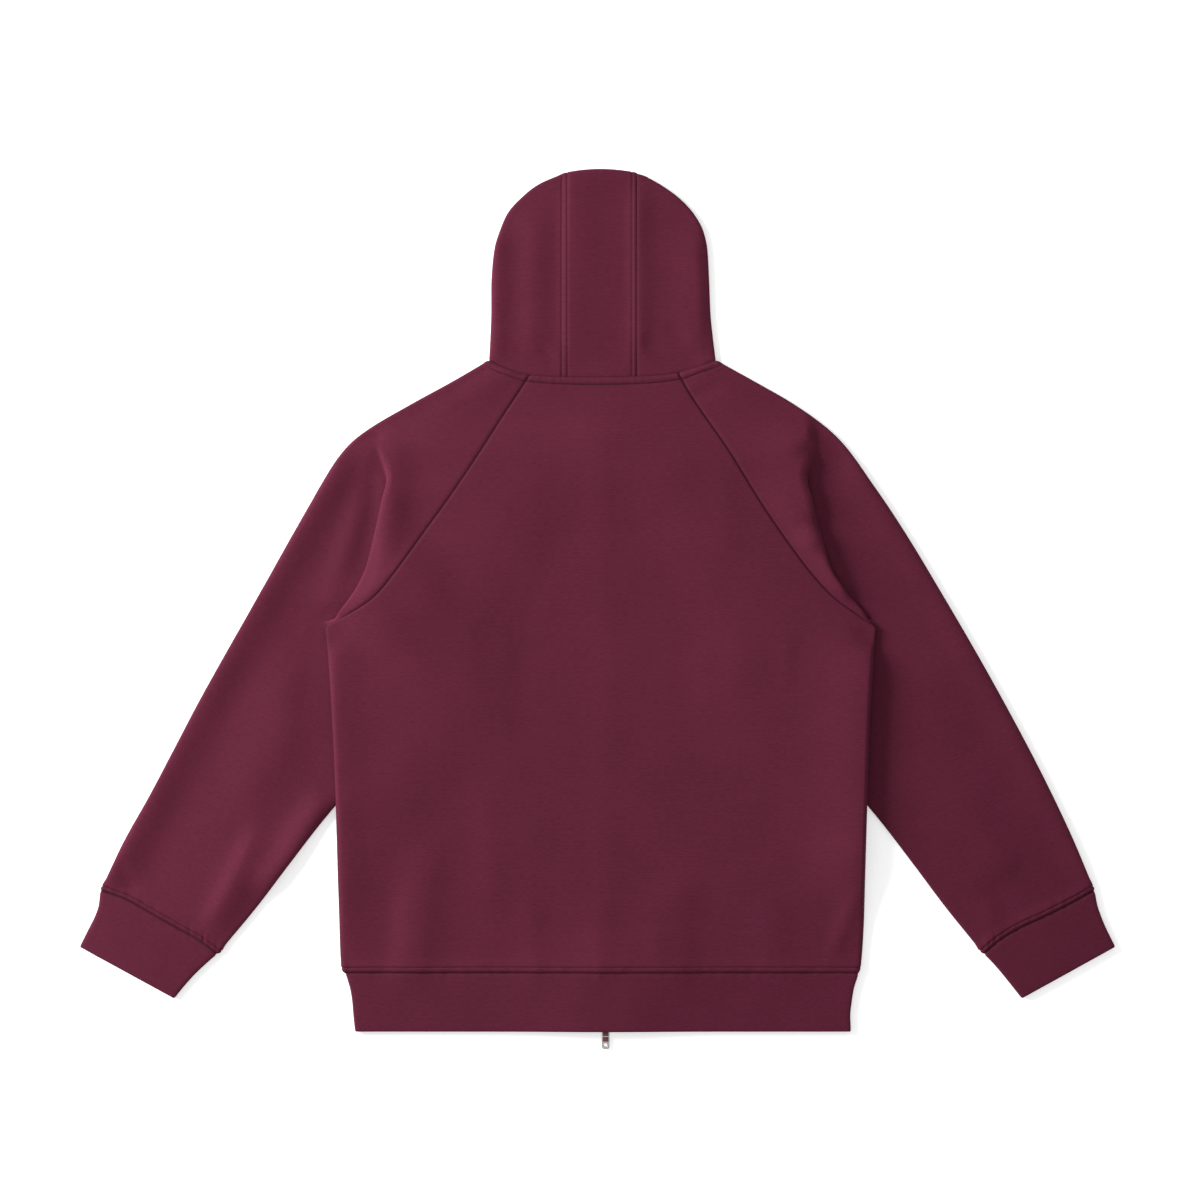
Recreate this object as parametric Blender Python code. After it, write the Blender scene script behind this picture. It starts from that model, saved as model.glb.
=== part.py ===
"""Zip up hoodie laid face down on a flat surface, its back upward.

The hood points along +Y, the hem along -Y, and the wearer's left is -X.  Every cloth
piece is a wall of its own: a sheet through the middle of the cloth, thickened evenly.
The sleeves pass under the body beside the underarms, so the body rises over them.
Sizes and tables are in millimetres; the origin is under the middle of the whole garment.
"""

import math
from collections import namedtuple

import bmesh
import bpy
import numpy as np
from mathutils import Vector

MM = 0.001

# Cloth and seams
CLOTH = 1.5             # wall of the body, sleeves and hood
RIB = 2.4               # wall of the cuffs and the hem band, which are doubled
SEAM = 0.4              # gap between sewn pieces
SIDE_GAP = 1.4          # gap between the middles of the two layers at a side seam
LAYER = 2.4             # from the middle of one pressed layer to the middle of the next
FLOOR = CLOTH / 2       # height of a layer's middle where it lies on the floor
SECOND = FLOOR + LAYER  # middle of a layer lying on that one
FOLD_CELLS = 3          # faces round a fold

# Garment lines
CENTRE = 3.3            # the garment's middle line
ZIP_X = 8.4             # the zip's line
HEM_SEAM = -399.5       # seam between body and hem band
HEM_EDGE = -464.2       # lower edge of the hem band
HOOD_TOP = 484.0        # highest point of the hood's crown
HOOD_SIDE_TOP = 478.0   # where the hood's side panels start
HOOD_SEAM_LEFT = 42.9   # centre panel's seams, from the middle line
HOOD_SEAM_RIGHT = 39.6
CROWN_END = 372.0       # where the crown strip ends, under the hood
HOOD_FAN = 1.5          # how much the side panels' rows fan out near the crown
HOOD_START = 0.035      # where their first row lies, as a share of the way to the neck

# Layers
LIFT = 4.3              # rise of the body's lower layer where it lies on a sleeve
LIFT_HOLD = 28.0        # how far past the sleeve's edge the body stays up
LIFT_RAMP = 45.0        # and how far it takes to come down
LIFT_FADE = (4.0, 38.0) # where that rise fades above the sleeve's inner fold
BODY_GAP = 3.2          # between the middles of the body's two layers
ZIP_RIDGE = 0.6         # extra height of the back over the teeth
HEM_RISE = 0.65         # extra height of the back where it meets the band
TEETH_REACH = 18.0      # half the width over which the teeth raise the back
OUTER_RADIUS = 1.6      # fold along the sleeve's outer edge
SLEEVE_PUFF = 1.2       # fullness of the sleeve's upper layer where nothing lies on it
BODY_CLEAR = (14.0, 60.0)  # from the body's edge to where that fullness starts and is whole
FLAP_SAG = 2.4          # how much the flap beside the back raglan seam sags between its ends

# Zip
TEETH_HALF = 1.2        # half the thickness of the row of teeth
TEETH_WIDE = 2.3        # width of one tape's teeth
TAPE = 0.8              # thickness of the tape
TAPE_WIDE = 14.0
FRONT_EDGE = 5.0        # from the zip's line to the edge of each front
TAPE_CLEAR = 0.3
ZIP_LIFT = 2.8          # rise of the zip where a slider and its pull lie under it
BAND_LIFT = 1.9         # the same for the thicker hem band
ZIP_SPREAD = 40.0       # how far that rise spreads to the sides
HEM_RAMP = (4.0, 70.0)  # from the hem seam to where the rise of the lower slider ends
PULL_RAMP = (50.0, 4.0)  # below the upper pull's tip, where its rise starts and is whole
TOP_RAMP = (4.0, 50.0)  # and above the zip's top, where it starts to fall and ends
SLIDER_GAP = 1.5        # extra height of the back over a slider
BAND_RISE = 2.9         # the same for the hem band
SLIDER_LONG, SLIDER_WIDE, SLIDER_PLATE = 12.0, 9.0, 0.9
LOWER_SLIDER_Y = -455.0
UPPER_SLIDER_Y = 173.0
ZIP_TOP = 181.5
TEETH_CLEAR = 0.3
BRIDGE_REACH, BRIDGE_WIDE, BRIDGE_THICK = 4.4, 2.0, 0.75
PIVOT_Z = 1.72          # height of the pull's bar inside the slider's bridge
PULL_LONG, PULL_WIDE, PULL_THICK = 28.8, 8.9, 1.1
PULL_BAR, PULL_EYE_LONG, PULL_EYE_WIDE = 1.1, 4.9, 3.6
PULL_HOLE_RADIUS, PULL_HOLE_FROM_TIP = 1.7, 4.6
PULL_SIDES = 16         # sides of the round hole
POST_WIDE, POST_LONG, POST_FROM_END = 3.0, 3.2, 2.6
BRIDGE_SINK = 0.4       # how far the bridge and the post run into the plates
BRIDGE_WALL = 0.8       # wall at both ends of the bridge
BRIDGE_BELOW = 1.62     # from the pull's bar down to the bridge's underside

# Outlines, as distances from the middle line to the wearer's left and right at a height y.
Pair = namedtuple("Pair", "y left right")

SLEEVE_OUTER = (
    Pair(-309.1, 550.0, 542.5), Pair(-258.5, 526.0, 521.5), Pair(-205.7, 496.5, 497.0),
    Pair(-100.1, 441.0, 442.0), Pair(5.5, 381.7, 381.7), Pair(111.1, 322.3, 317.0),
    Pair(150.7, 299.2, 289.5), Pair(177.1, 280.5, 270.6), Pair(190.3, 266.2, 258.5),
    Pair(216.7, 224.5, 225.5), Pair(240.9, 180.5, 186.0), Pair(272.8, 123.2, 126.5),
)
SLEEVE_INNER = (
    Pair(-379.5, 421.3, 420.2), Pair(-337.7, 386.1, 386.1), Pair(-232.1, 304.7, 305.8),
    Pair(-182.6, 263.0, 264.0), Pair(-138.6, 226.6, 226.6), Pair(-84.7, 184.0, 184.0),
)
RAGLAN_BACK = (
    Pair(-20.9, 302.5, 302.5), Pair(-9.9, 285.0, 286.0), Pair(-1.1, 267.3, 274.0),
    Pair(12.1, 249.7, 256.3), Pair(57.2, 214.5, 217.8), Pair(119.9, 168.3, 173.8),
    Pair(177.1, 129.8, 138.6), Pair(213.4, 106.7, 113.3), Pair(256.3, 78.1, 84.7),
)
RAGLAN_FRONT = (
    Pair(-20.9, 302.5, 302.5), Pair(-9.9, 285.0, 286.0), Pair(-1.1, 267.3, 274.0),
    Pair(12.1, 249.7, 256.3), Pair(57.2, 212.3, 214.3), Pair(119.9, 155.1, 155.1),
    Pair(177.1, 104.5, 104.5), Pair(224.4, 62.7, 62.7),
)
CREST = (
    Pair(-12.0, 298.0, 299.0), Pair(0.0, 285.5, 286.5), Pair(18.7, 271.7, 270.0),
    Pair(37.4, 261.8, 256.0), Pair(59.4, 254.1, 248.6), Pair(84.7, 248.6, 240.9),
    Pair(119.9, 240.9, 232.1), Pair(147.4, 237.6, 228.8), Pair(168.3, 246.4, 227.7),
)
BODY_SIDE = (
    Pair(-20.9, 302.5, 302.5), Pair(-100.1, 297.0, 297.0), Pair(-218.9, 291.5, 292.6),
    Pair(-298.1, 289.3, 290.4), Pair(-364.1, 287.1, 288.2), Pair(-390.5, 286.0, 286.0),
    Pair(-399.5, 283.0, 284.0),
)
BAND_SIDE = (
    Pair(-400.0, 281.5, 283.5), Pair(-416.9, 276.1, 278.3), Pair(-430.1, 273.9, 276.1),
    Pair(-443.3, 272.8, 274.5), Pair(-464.2, 270.6, 275.0),
)
HOOD_SIDE = (
    Pair(272.8, 123.2, 126.5), Pair(320.1, 121.0, 121.0), Pair(364.1, 120.5, 119.0),
    Pair(399.3, 116.6, 116.6), Pair(416.9, 111.1, 112.2), Pair(434.5, 103.4, 102.3),
    Pair(452.1, 88.0, 85.8), Pair(469.7, 63.8, 60.5), Pair(478.5, 42.9, 44.0),
)

# The face opening on the underside: its half width as a share of the crown strip's.
FACE_OPENING = (
    Pair(180.0, 0.0, 0.0), Pair(230.0, 0.10, 0.10), Pair(280.0, 0.35, 0.35),
    Pair(330.0, 0.72, 0.72), Pair(372.0, 1.0, 1.0),
)

# The neck seam: its height on the back at a distance from the middle line.  On the front it
# runs straight from the shoulder to the front raglan seam and from there to the zip.
Neck = namedtuple("Neck", "reach left right")
NECK_BACK = (
    Neck(0.0, 255.0, 255.0), Neck(30.0, 255.0, 255.5), Neck(62.7, 256.0, 257.0),
    Neck(84.7, 258.5, 260.0), Neck(105.0, 264.5, 265.5), Neck(123.2, 272.8, 271.6),
    Neck(126.5, 274.2, 272.8),
)
NECK_FRONT_REACH = (0.0, 62.7, 123.2)
NECK_FRONT_Y = (177.0, 224.4, 272.8)

# Closed rings of a sleeve below the underarm: where each one meets the outer and the inner
# edge, and how far along it from the outer edge the underarm seam lies.
Ring = namedtuple("Ring", "outer_y inner_y seam bunched")
RINGS = (
    Ring(-309.1, -378.9, 0.85, 0.60), Ring(-292.0, -363.0, 0.84, 0.60),
    Ring(-255.0, -328.0, 0.80, 0.58), Ring(-205.7, -282.0, 0.72, 0.55),
    Ring(-155.0, -236.0, 0.65, 0.50), Ring(-105.0, -190.0, 0.58, 0.42),
    Ring(-62.0, -150.0, 0.50, 0.32), Ring(-25.0, -117.0, 0.43, 0.22),
    Ring(5.0, -95.0, 0.39, 0.14),
)

# Open sections above the underarm: where each one meets the outer edge, the fold beside the
# back raglan seam, that seam and the front one; how far the fold is tucked under, where 0 is
# a steep step; how far the sleeve reaches in under the front before it folds back; and how
# much of a quarter turn its edge stands up where that fold has ended.
Section = namedtuple("Section", "outer_y crest_y back_y front_y tuck under turn")
UNDERARM = Section(20.9, -20.9, -20.9, -20.9, None, None, 0.0)
UNDERARM_INNER_Y = -84.7
SECTIONS = (
    Section(28.0, -12.0, -14.5, -14.5, 0.0, 118.0, 0.0),
    Section(38.0, 0.0, -5.0, -5.0, 3.0, 100.0, 0.0),
    Section(58.3, 18.7, 12.1, 7.0, 8.0, 76.0, 0.0),
    Section(84.7, 45.0, 40.0, 40.0, 12.0, 50.0, 0.0),
    Section(115.0, 84.7, 80.0, 84.0, 12.0, 32.0, 0.0),
    Section(142.0, 119.9, 117.0, 122.0, 8.0, 16.0, 0.0),
    Section(166.0, 147.0, 151.0, 152.0, 0.0, 0.0, 1.0),
    Section(182.0, None, 168.0, 168.0, None, None, 0.55),
    Section(196.0, None, 183.0, 184.0, None, None, 0.0),
    Section(226.0, None, 213.0, 204.0, None, None, 0.0),
    Section(250.0, None, 238.0, 215.0, None, None, 0.0),
    Section(272.3, None, 256.0, 224.0, None, None, 0.0),
)
FOLD_ENDS = 166.0       # the section at this height on the outer edge is the last with a fold
CREST_END, CREST_NECK = 0.80, 0.45      # the ended fold's place between back seam and outer edge
FLAP_CELLS, TOP_CELLS, BOTTOM_CELLS, RETURN_CELLS = 3, 4, 5, 2
TUCK_CELLS = 2 * FOLD_CELLS + 1
EASED = 5.0             # width over which an ended fold's cells lie flat
STEP_REACH = 1.8        # half the width of a steep step in the upper layer
TURN_RADIUS = LAYER     # of the lower layer's edge where it turns up

# Heights of the body's rows below the underarm.
SIDE_ROWS = (-20.9, -32.0, -62.0, -100.1, -150.0, -200.0, -250.0, -298.1, -340.0, -372.0,
             -390.5, HEM_SEAM)
BODY_CELLS = 9          # faces across each half of the body
CLOSER_AT_ZIP = 1.15    # how much closer together they are near the zip
EDGE_WIDE = 2.0         # width of the flat last faces beside a raglan seam
CURL_RAMP = (1.0, -11.0)  # from the underarm to where the side edges are fully turned
FRONT_DROP = 47.4       # how much lower the front neck is at the zip than at the raglan seam

BAND_ROWS = (HEM_SEAM - SEAM, -408.0, -417.0, -430.0, -447.0, HEM_EDGE)

# A cuff: its outer and its inner edge from the seam to the opening.
Cuff = namedtuple("Cuff", "outer_left outer_right outer_y inner_left inner_right inner_y")
CUFF_ROWS = (
    Cuff(550.6, 542.8, -309.7, 422.0, 421.0, -379.5), Cuff(552.2, 545.6, -324.5, 434.5, 431.5, -390.5),
    Cuff(556.6, 550.0, -337.7, 447.5, 442.2, -403.0), Cuff(563.2, 555.5, -350.9, 459.0, 452.6, -416.0),
    Cuff(573.1, 565.4, -370.7, 468.6, 462.0, -427.9),
)

Finish = namedtuple("Finish", "color roughness metallic")
BURGUNDY = Finish((0.128, 0.019, 0.044, 1.0), 0.85, 0.0)
TAPE_FINISH = Finish((0.085, 0.014, 0.030, 1.0), 0.80, 0.0)
SILVER = Finish((0.72, 0.71, 0.70, 1.0), 0.25, 1.0)

LEFT, RIGHT = -1, 1


# --- Reading the tables -------------------------------------------------------------------

def read(table, key, column, value):
    """The value of a column where the key column has the given value, smoothly between rows."""
    rows = sorted(table, key=lambda row: getattr(row, key))
    keys = np.array([getattr(row, key) for row in rows], float)
    values = np.array([getattr(row, column) for row in rows], float)
    slopes = np.gradient(values, keys)
    value = min(max(value, keys[0]), keys[-1])
    start = min(int(np.searchsorted(keys, value, side="right")) - 1, len(keys) - 2)
    span = keys[start + 1] - keys[start]
    t = (value - keys[start]) / span
    return float(values[start] * (1 + 2 * t) * (1 - t) ** 2 + values[start + 1] * t * t * (3 - 2 * t)
                 + span * (slopes[start] * t * (1 - t) ** 2 + slopes[start + 1] * t * t * (t - 1)))


def side_name(side):
    """The table column for a side."""
    return "left" if side == LEFT else "right"


def reach(table, side, y):
    """Distance from the middle line to an outline at a height."""
    return read(table, "y", side_name(side), y)


def spot(table, side, y):
    """The plan point of an outline at a height."""
    return Vector((CENTRE + side * reach(table, side, y), y))


def edge_normal(table, side, y):
    """The outward direction in plan across an outline, where the outline leans outward
    toward lower y."""
    along = spot(table, side, y - 1.0) - spot(table, side, y + 1.0)
    return Vector((side * abs(along.y), abs(along.x))).normalized()


def back_neck_y(x):
    """Height of the neck seam on the back at x."""
    return read(NECK_BACK, "reach", side_name(LEFT if x < CENTRE else RIGHT), abs(x - CENTRE))


def front_neck_y(x):
    """Height of the neck seam on the front at x."""
    return float(np.interp(abs(x - CENTRE), NECK_FRONT_REACH, NECK_FRONT_Y))


def smooth(start, end, value):
    """From 0 to 1 between two values, with a soft start and end."""
    t = min(max((value - start) / (end - start), 0.0), 1.0)
    return t * t * (3.0 - 2.0 * t)


def mix(a, b, t):
    """The value or point between two others."""
    return a + (b - a) * t


# --- Heights of the layers ----------------------------------------------------------------

def inner_point(side, section):
    """Where an open section of a sleeve reaches its hidden inner fold."""
    outer = spot(SLEEVE_OUTER, side, section.outer_y)
    front = spot(RAGLAN_FRONT, side, section.front_y)
    return front + (front - outer).normalized() * section.under


def inner_edge_points(side):
    """The sleeve's inner edge from the cuff to the end of its hidden fold."""
    bottom = SLEEVE_INNER[0].y
    points = [spot(SLEEVE_INNER, side, mix(bottom, UNDERARM_INNER_Y, step / 30)) for step in range(31)]
    return points + [inner_point(side, section) for section in SECTIONS if section.under is not None]


INNER_EDGE = {side: inner_edge_points(side) for side in (LEFT, RIGHT)}


def distance_to_line(point, line):
    """Shortest distance from a point to a line of points."""
    best = math.inf
    for start, end in zip(line, line[1:]):
        along = end - start
        share = min(max((point - start).dot(along) / along.length_squared, 0.0), 1.0)
        best = min(best, (start + along * share - point).length)
    return best


def over_sleeve(x, y):
    """How far the body is lifted here by the sleeve under it, from 0 to 1."""
    side = LEFT if x < CENTRE else RIGHT
    edge = INNER_EDGE[side]
    fade = 1.0 - smooth(edge[-1].y + LIFT_FADE[0], edge[-1].y + LIFT_FADE[1], y)
    if fade == 0.0:
        return 0.0
    edge_reach = np.interp(y, [p.y for p in edge], [abs(p.x - CENTRE) for p in edge])
    inside = abs(x - CENTRE) > edge_reach and y > edge[0].y
    away = 0.0 if inside else distance_to_line(Vector((x, y)), edge)
    return fade * (1.0 - smooth(LIFT_HOLD, LIFT_HOLD + LIFT_RAMP, away))


def near_zip(x):
    """From 1 along the zip to 0 away from it."""
    away = max(abs(x - ZIP_X) - TAPE_WIDE, 0.0)
    return math.exp(-(away / ZIP_SPREAD) ** 2)


def near_slider(y):
    """From 1 along the two sliders and their pulls to 0 away from them."""
    lower = 1.0 - smooth(HEM_SEAM + HEM_RAMP[0], HEM_SEAM + HEM_RAMP[1], y)
    pull_end = UPPER_SLIDER_Y - PULL_LONG
    rise = smooth(pull_end - PULL_RAMP[0], pull_end - PULL_RAMP[1], y)
    fall = smooth(ZIP_TOP + TOP_RAMP[0], ZIP_TOP + TOP_RAMP[1], y)
    return lower + rise * (1.0 - fall)


def lower_z(x, y):
    """Middle height of the garment's lower layer: the fronts, and the hood's underside."""
    return FLOOR + LIFT * over_sleeve(x, y) + ZIP_LIFT * near_zip(x) * near_slider(y)


def upper_z(x, y):
    """Middle height of the garment's upper layer: the back, and the hood's upper side."""
    above_zip = smooth(ZIP_TOP, ZIP_TOP + 40.0, y)
    on_teeth = math.exp(-((x - ZIP_X) / TEETH_REACH) ** 2) * (1.0 - above_zip)
    at_hem = 1.0 - smooth(HEM_SEAM, HEM_SEAM + 30.0, y)
    gap = BODY_GAP + ZIP_RIDGE * on_teeth + HEM_RISE * at_hem
    return lower_z(x, y) + gap + SLIDER_GAP * near_zip(x) * near_slider(y)


def zip_z(y):
    """Middle height of the zip's tape."""
    return lower_z(ZIP_X, y) + CLOTH / 2 + TAPE_CLEAR + TAPE / 2


# --- Sheets and walls ---------------------------------------------------------------------

def fold(edge, outward, z_start, z_end, wall=CLOTH, cells=FOLD_CELLS):
    """Points of a wall's middle round a fold whose outside reaches the edge."""
    radius = abs(z_end - z_start) / 2
    root = edge - outward * (wall / 2 + radius)
    points = []
    for step in range(cells + 1):
        angle = math.pi * step / cells
        plan = root + outward * radius * math.sin(angle)
        height = mix(z_start, z_end, (1 - math.cos(angle)) / 2)
        points.append((plan.x, plan.y, height))
    return points


def make_material(name, finish):
    """A plain Principled material."""
    material = bpy.data.materials.new(name)
    material.use_nodes = True
    shader = material.node_tree.nodes["Principled BSDF"]
    shader.inputs["Base Color"].default_value = finish.color
    shader.inputs["Roughness"].default_value = finish.roughness
    shader.inputs["Metallic"].default_value = finish.metallic
    return material


def add_object(name, mesh_data, finish, origin=Vector((0, 0, 0))):
    """A scene object from a bmesh in millimetres, its origin at the given point."""
    bmesh.ops.translate(mesh_data, vec=-origin, verts=mesh_data.verts)
    bmesh.ops.scale(mesh_data, vec=(MM, MM, MM), verts=mesh_data.verts)
    mesh = bpy.data.meshes.new(name)
    mesh_data.to_mesh(mesh)
    mesh_data.free()
    mesh.materials.append(make_material(name, finish))
    mesh.shade_smooth()
    obj = bpy.data.objects.new(name, mesh)
    obj.location = origin * MM
    bpy.context.scene.collection.objects.link(obj)
    return obj


def sheet(name, rows, wall=CLOTH, finish=BURGUNDY, flip=False):
    """A cloth wall whose middle runs through a grid of points, thickened to both sides.

    The points run so that the sheet's faces point to the outside of the garment.
    """
    mesh_data = bmesh.new()
    grid = [[mesh_data.verts.new(point) for point in row] for row in rows]
    for near, far in zip(grid, grid[1:]):
        for a, b, c, d in zip(near, near[1:], far[1:], far):
            mesh_data.faces.new((d, c, b, a) if flip else (a, b, c, d))
    bmesh.ops.remove_doubles(mesh_data, verts=mesh_data.verts, dist=0.01)
    obj = add_object(name, mesh_data, finish)
    solidify = obj.modifiers.new("wall", "SOLIDIFY")
    solidify.thickness = wall * MM
    solidify.offset = 0.0
    solidify.use_even_offset = True
    solidify.use_quality_normals = True
    return obj


def spread(start, end, cells):
    """Values or plan points from one to another, both included."""
    return [mix(start, end, step / cells) for step in range(cells + 1)]


def across(left_x, right_x):
    """Places across the garment, closer together near the zip; the ends are left out."""
    shares = [(step / BODY_CELLS) ** CLOSER_AT_ZIP for step in range(1, BODY_CELLS)]
    left = [mix(ZIP_X, left_x, share) for share in reversed(shares)]
    return left + [ZIP_X] + [mix(ZIP_X, right_x, share) for share in shares]


# --- Sleeves ------------------------------------------------------------------------------

def clear_of_body(point, side):
    """From 0 under the body to 1 out in the open, for a point of a sleeve's upper layer."""
    away = abs(point.x - CENTRE) - reach(BODY_SIDE, side, max(point.y, HEM_SEAM))
    if point.y > BODY_SIDE[0].y:
        away = (point - spot(BODY_SIDE, side, BODY_SIDE[0].y)).length
    return smooth(*BODY_CLEAR, away)


def sleeve_top_z(point, side, across):
    """Height of the sleeve's upper layer at a share of the way from its outer edge."""
    fullness = 2 * OUTER_RADIUS - LAYER + SLEEVE_PUFF * math.sin(math.pi * min(across, 1.0))
    return SECOND + clear_of_body(point, side) * fullness


def sleeve_ring(side, ring):
    """One closed ring: the upper layer outward from the underarm seam, the outer fold, the
    lower layer inward, the inner fold, and back to the seam."""
    outer = spot(SLEEVE_OUTER, side, ring.outer_y)
    inner = spot(SLEEVE_INNER, side, ring.inner_y)
    inward = (inner - outer).normalized()
    inner_top = sleeve_top_z(inner, side, 1.0)
    outer_fold = fold(outer, edge_normal(SLEEVE_OUTER, side, ring.outer_y),
                      FLOOR + 2 * OUTER_RADIUS, FLOOR)
    inner_fold = fold(inner, inward, FLOOR, inner_top)
    outer_root = Vector(outer_fold[0][:2])
    inner_root = Vector(inner_fold[0][:2])
    seam = mix(outer, inner, ring.seam)
    bunch_end = mix(seam, outer_root, ring.bunched)
    bunch_cells = FLAP_CELLS + TUCK_CELLS
    top_plan = spread(seam, bunch_end, bunch_cells) + spread(bunch_end, outer_root, TOP_CELLS)[1:]
    length = (inner - outer).length
    top = [(p.x, p.y, sleeve_top_z(p, side, (p - outer).length / length)) for p in top_plan[:-1]]
    bottom = [(p.x, p.y, FLOOR) for p in spread(outer_root, inner_root, BOTTOM_CELLS)[1:-1]]
    back = [(p.x, p.y, sleeve_top_z(p, side, (p - outer).length / length))
            for p in spread(inner_root, seam, RETURN_CELLS)[1:]]
    return top + outer_fold + bottom + inner_fold + back


def tuck_points(crest, outward, flap_z, tuck):
    """The crest fold and the fold it hides, or a steep step where the tuck starts or ends."""
    if tuck == 0.0:
        middle = crest - outward * (CLOTH / 2 + STEP_REACH)
        points = []
        for step in range(TUCK_CELLS + 1):
            share = step / TUCK_CELLS
            plan = middle + outward * STEP_REACH * (2 * share - 1)
            points.append((plan.x, plan.y, mix(flap_z, SECOND, smooth(0.0, 1.0, share))))
        return points
    crest_fold = fold(crest, outward, flap_z, SECOND + LAYER)
    tuck_edge = Vector(crest_fold[0][:2]) - outward * (tuck + CLOTH / 2 + LAYER / 2)
    return crest_fold + fold(tuck_edge, -outward, SECOND + LAYER, SECOND)


def tucked_top(section, outer_root, back, crest):
    """The upper layer from the back raglan seam: the flap, its fold, the tuck, the sleeve."""
    outward = (crest - back).normalized()
    flap_z = SECOND + 2 * LAYER
    tuck = tuck_points(crest, outward, flap_z, section.tuck)
    flap_root = Vector(tuck[0][:2])
    sag = FLAP_SAG * smooth(8.0, 40.0, (flap_root - back).length)
    back_z = upper_z(back.x, back.y)
    flap = []
    for step, plan in enumerate(spread(back, flap_root, FLAP_CELLS)[:-1]):
        share = step / FLAP_CELLS
        dip = sag * max(math.sin(2 * math.pi * share), 0.0)
        flap.append((plan.x, plan.y, mix(back_z, flap_z, share) - dip))
    tuck_root = Vector(tuck[-1][:2])
    top = []
    for step, plan in enumerate(spread(tuck_root, outer_root, TOP_CELLS)[1:-1], start=1):
        share = step / TOP_CELLS
        height = mix(SECOND, FLOOR + 2 * OUTER_RADIUS, smooth(0.3, 1.0, share))
        top.append((plan.x, plan.y, height + SLEEVE_PUFF * math.sin(math.pi * share) ** 2))
    return flap + tuck + top


def smooth_top(outer_root, back, crest):
    """The upper layer above the tuck's end: one smooth stretch from the seam to the edge."""
    outward = (outer_root - back).normalized() * EASED / 2
    plan = (spread(back, crest - outward, FLAP_CELLS)
            + spread(crest - outward, crest + outward, TUCK_CELLS)[1:]
            + spread(crest + outward, outer_root, TOP_CELLS)[1:-1])
    back_z = upper_z(back.x, back.y)
    length = (outer_root - back).length
    points = []
    for p in plan:
        share = (p - back).length / length
        height = mix(back_z, FLOOR + 2 * OUTER_RADIUS, smooth(0.0, 1.0, share))
        points.append((p.x, p.y, height + SLEEVE_PUFF * math.sin(math.pi * share) ** 2))
    return points


def open_bottom(outer_root, front, turn):
    """The lower layer where it isn't folded under: flat, then up to the front raglan seam,
    its edge turned up by a share of a quarter turn."""
    inward = (front - outer_root).normalized()
    end = front - inward * (SEAM + CLOTH * turn)
    angle = math.pi / 2 * turn
    bend = TURN_RADIUS * math.sin(angle) + EASED * (1 - turn)
    start = end - inward * bend
    end_z = min(lower_z(front.x, front.y), FLOOR + TURN_RADIUS)
    base_z = max(end_z - TURN_RADIUS * (1 - math.cos(angle)), FLOOR)
    length = (start - outer_root).length
    points = [(p.x, p.y, mix(FLOOR, base_z, smooth(0.5, 1.0, (p - outer_root).length / length)))
              for p in spread(outer_root, start, BOTTOM_CELLS)[1:]]
    for share in spread(0.0, 0.84, FOLD_CELLS)[1:] + spread(0.84, 1.0, RETURN_CELLS)[1:]:
        plan = start + inward * mix(bend * share, bend * math.sin(math.pi / 2 * share), turn)
        rise = TURN_RADIUS * (1 - math.cos(angle * share))
        points.append((plan.x, plan.y, base_z + rise))
    return points


def sleeve_section(side, section):
    """One open section, from the back raglan seam over the outer edge to the front one."""
    outer = spot(SLEEVE_OUTER, side, section.outer_y)
    back = spot(RAGLAN_BACK, side, section.back_y)
    front = spot(RAGLAN_FRONT, side, section.front_y)
    outer_fold = fold(outer, edge_normal(SLEEVE_OUTER, side, section.outer_y),
                      FLOOR + 2 * OUTER_RADIUS, FLOOR)
    outer_root = Vector(outer_fold[0][:2])
    if section.tuck is None:
        place = smooth(SECTIONS[-1].outer_y, FOLD_ENDS, section.outer_y)
        crest = mix(back, outer, mix(CREST_NECK, CREST_END, place))
        top = smooth_top(outer_root, back, crest)
    else:
        top = tucked_top(section, outer_root, back, spot(CREST, side, section.crest_y))
    if not section.under:
        return top + outer_fold + open_bottom(outer_root, front, section.turn)
    inner = inner_point(side, section)
    inner_fold = fold(inner, (inner - outer).normalized(), FLOOR, SECOND)
    inner_root = Vector(inner_fold[0][:2])
    bottom = [(p.x, p.y, FLOOR) for p in spread(outer_root, inner_root, BOTTOM_CELLS)[1:-1]]
    under = [(p.x, p.y, SECOND) for p in spread(inner_root, front, RETURN_CELLS)[1:]]
    return top + outer_fold + bottom + inner_fold + under


def underarm_ring(side):
    """The ring through the underarm point, where the two raglan seams meet."""
    return Ring(UNDERARM.outer_y, UNDERARM_INNER_Y, underarm_share(side), 0.10)


def underarm_share(side):
    """How far the underarm point lies along its ring from the outer edge."""
    outer = spot(SLEEVE_OUTER, side, UNDERARM.outer_y)
    inner = spot(SLEEVE_INNER, side, UNDERARM_INNER_Y)
    point = spot(RAGLAN_BACK, side, UNDERARM.back_y)
    return (point - outer).length / (inner - outer).length


def make_sleeve(side):
    """A raglan sleeve: a ring below the underarm, open between the raglan seams above it."""
    rows = [sleeve_ring(side, ring) for ring in RINGS]
    rows.append(sleeve_ring(side, underarm_ring(side)))
    rows += [sleeve_section(side, section) for section in SECTIONS]
    top_points = FLAP_CELLS + TUCK_CELLS + TOP_CELLS
    neck_row = []
    for index, (x, y, z) in enumerate(rows[-1]):
        if index < top_points:
            y = mix(back_neck_y(x) - SEAM, y, (index / top_points) ** 4)
        elif index > top_points + FOLD_CELLS + BOTTOM_CELLS:
            y = front_neck_y(x) - SEAM
        neck_row.append((x, y, z))
    rows[-1] = neck_row
    return sheet(f"{side_name(side)}_sleeve", rows, flip=side == LEFT)


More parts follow.
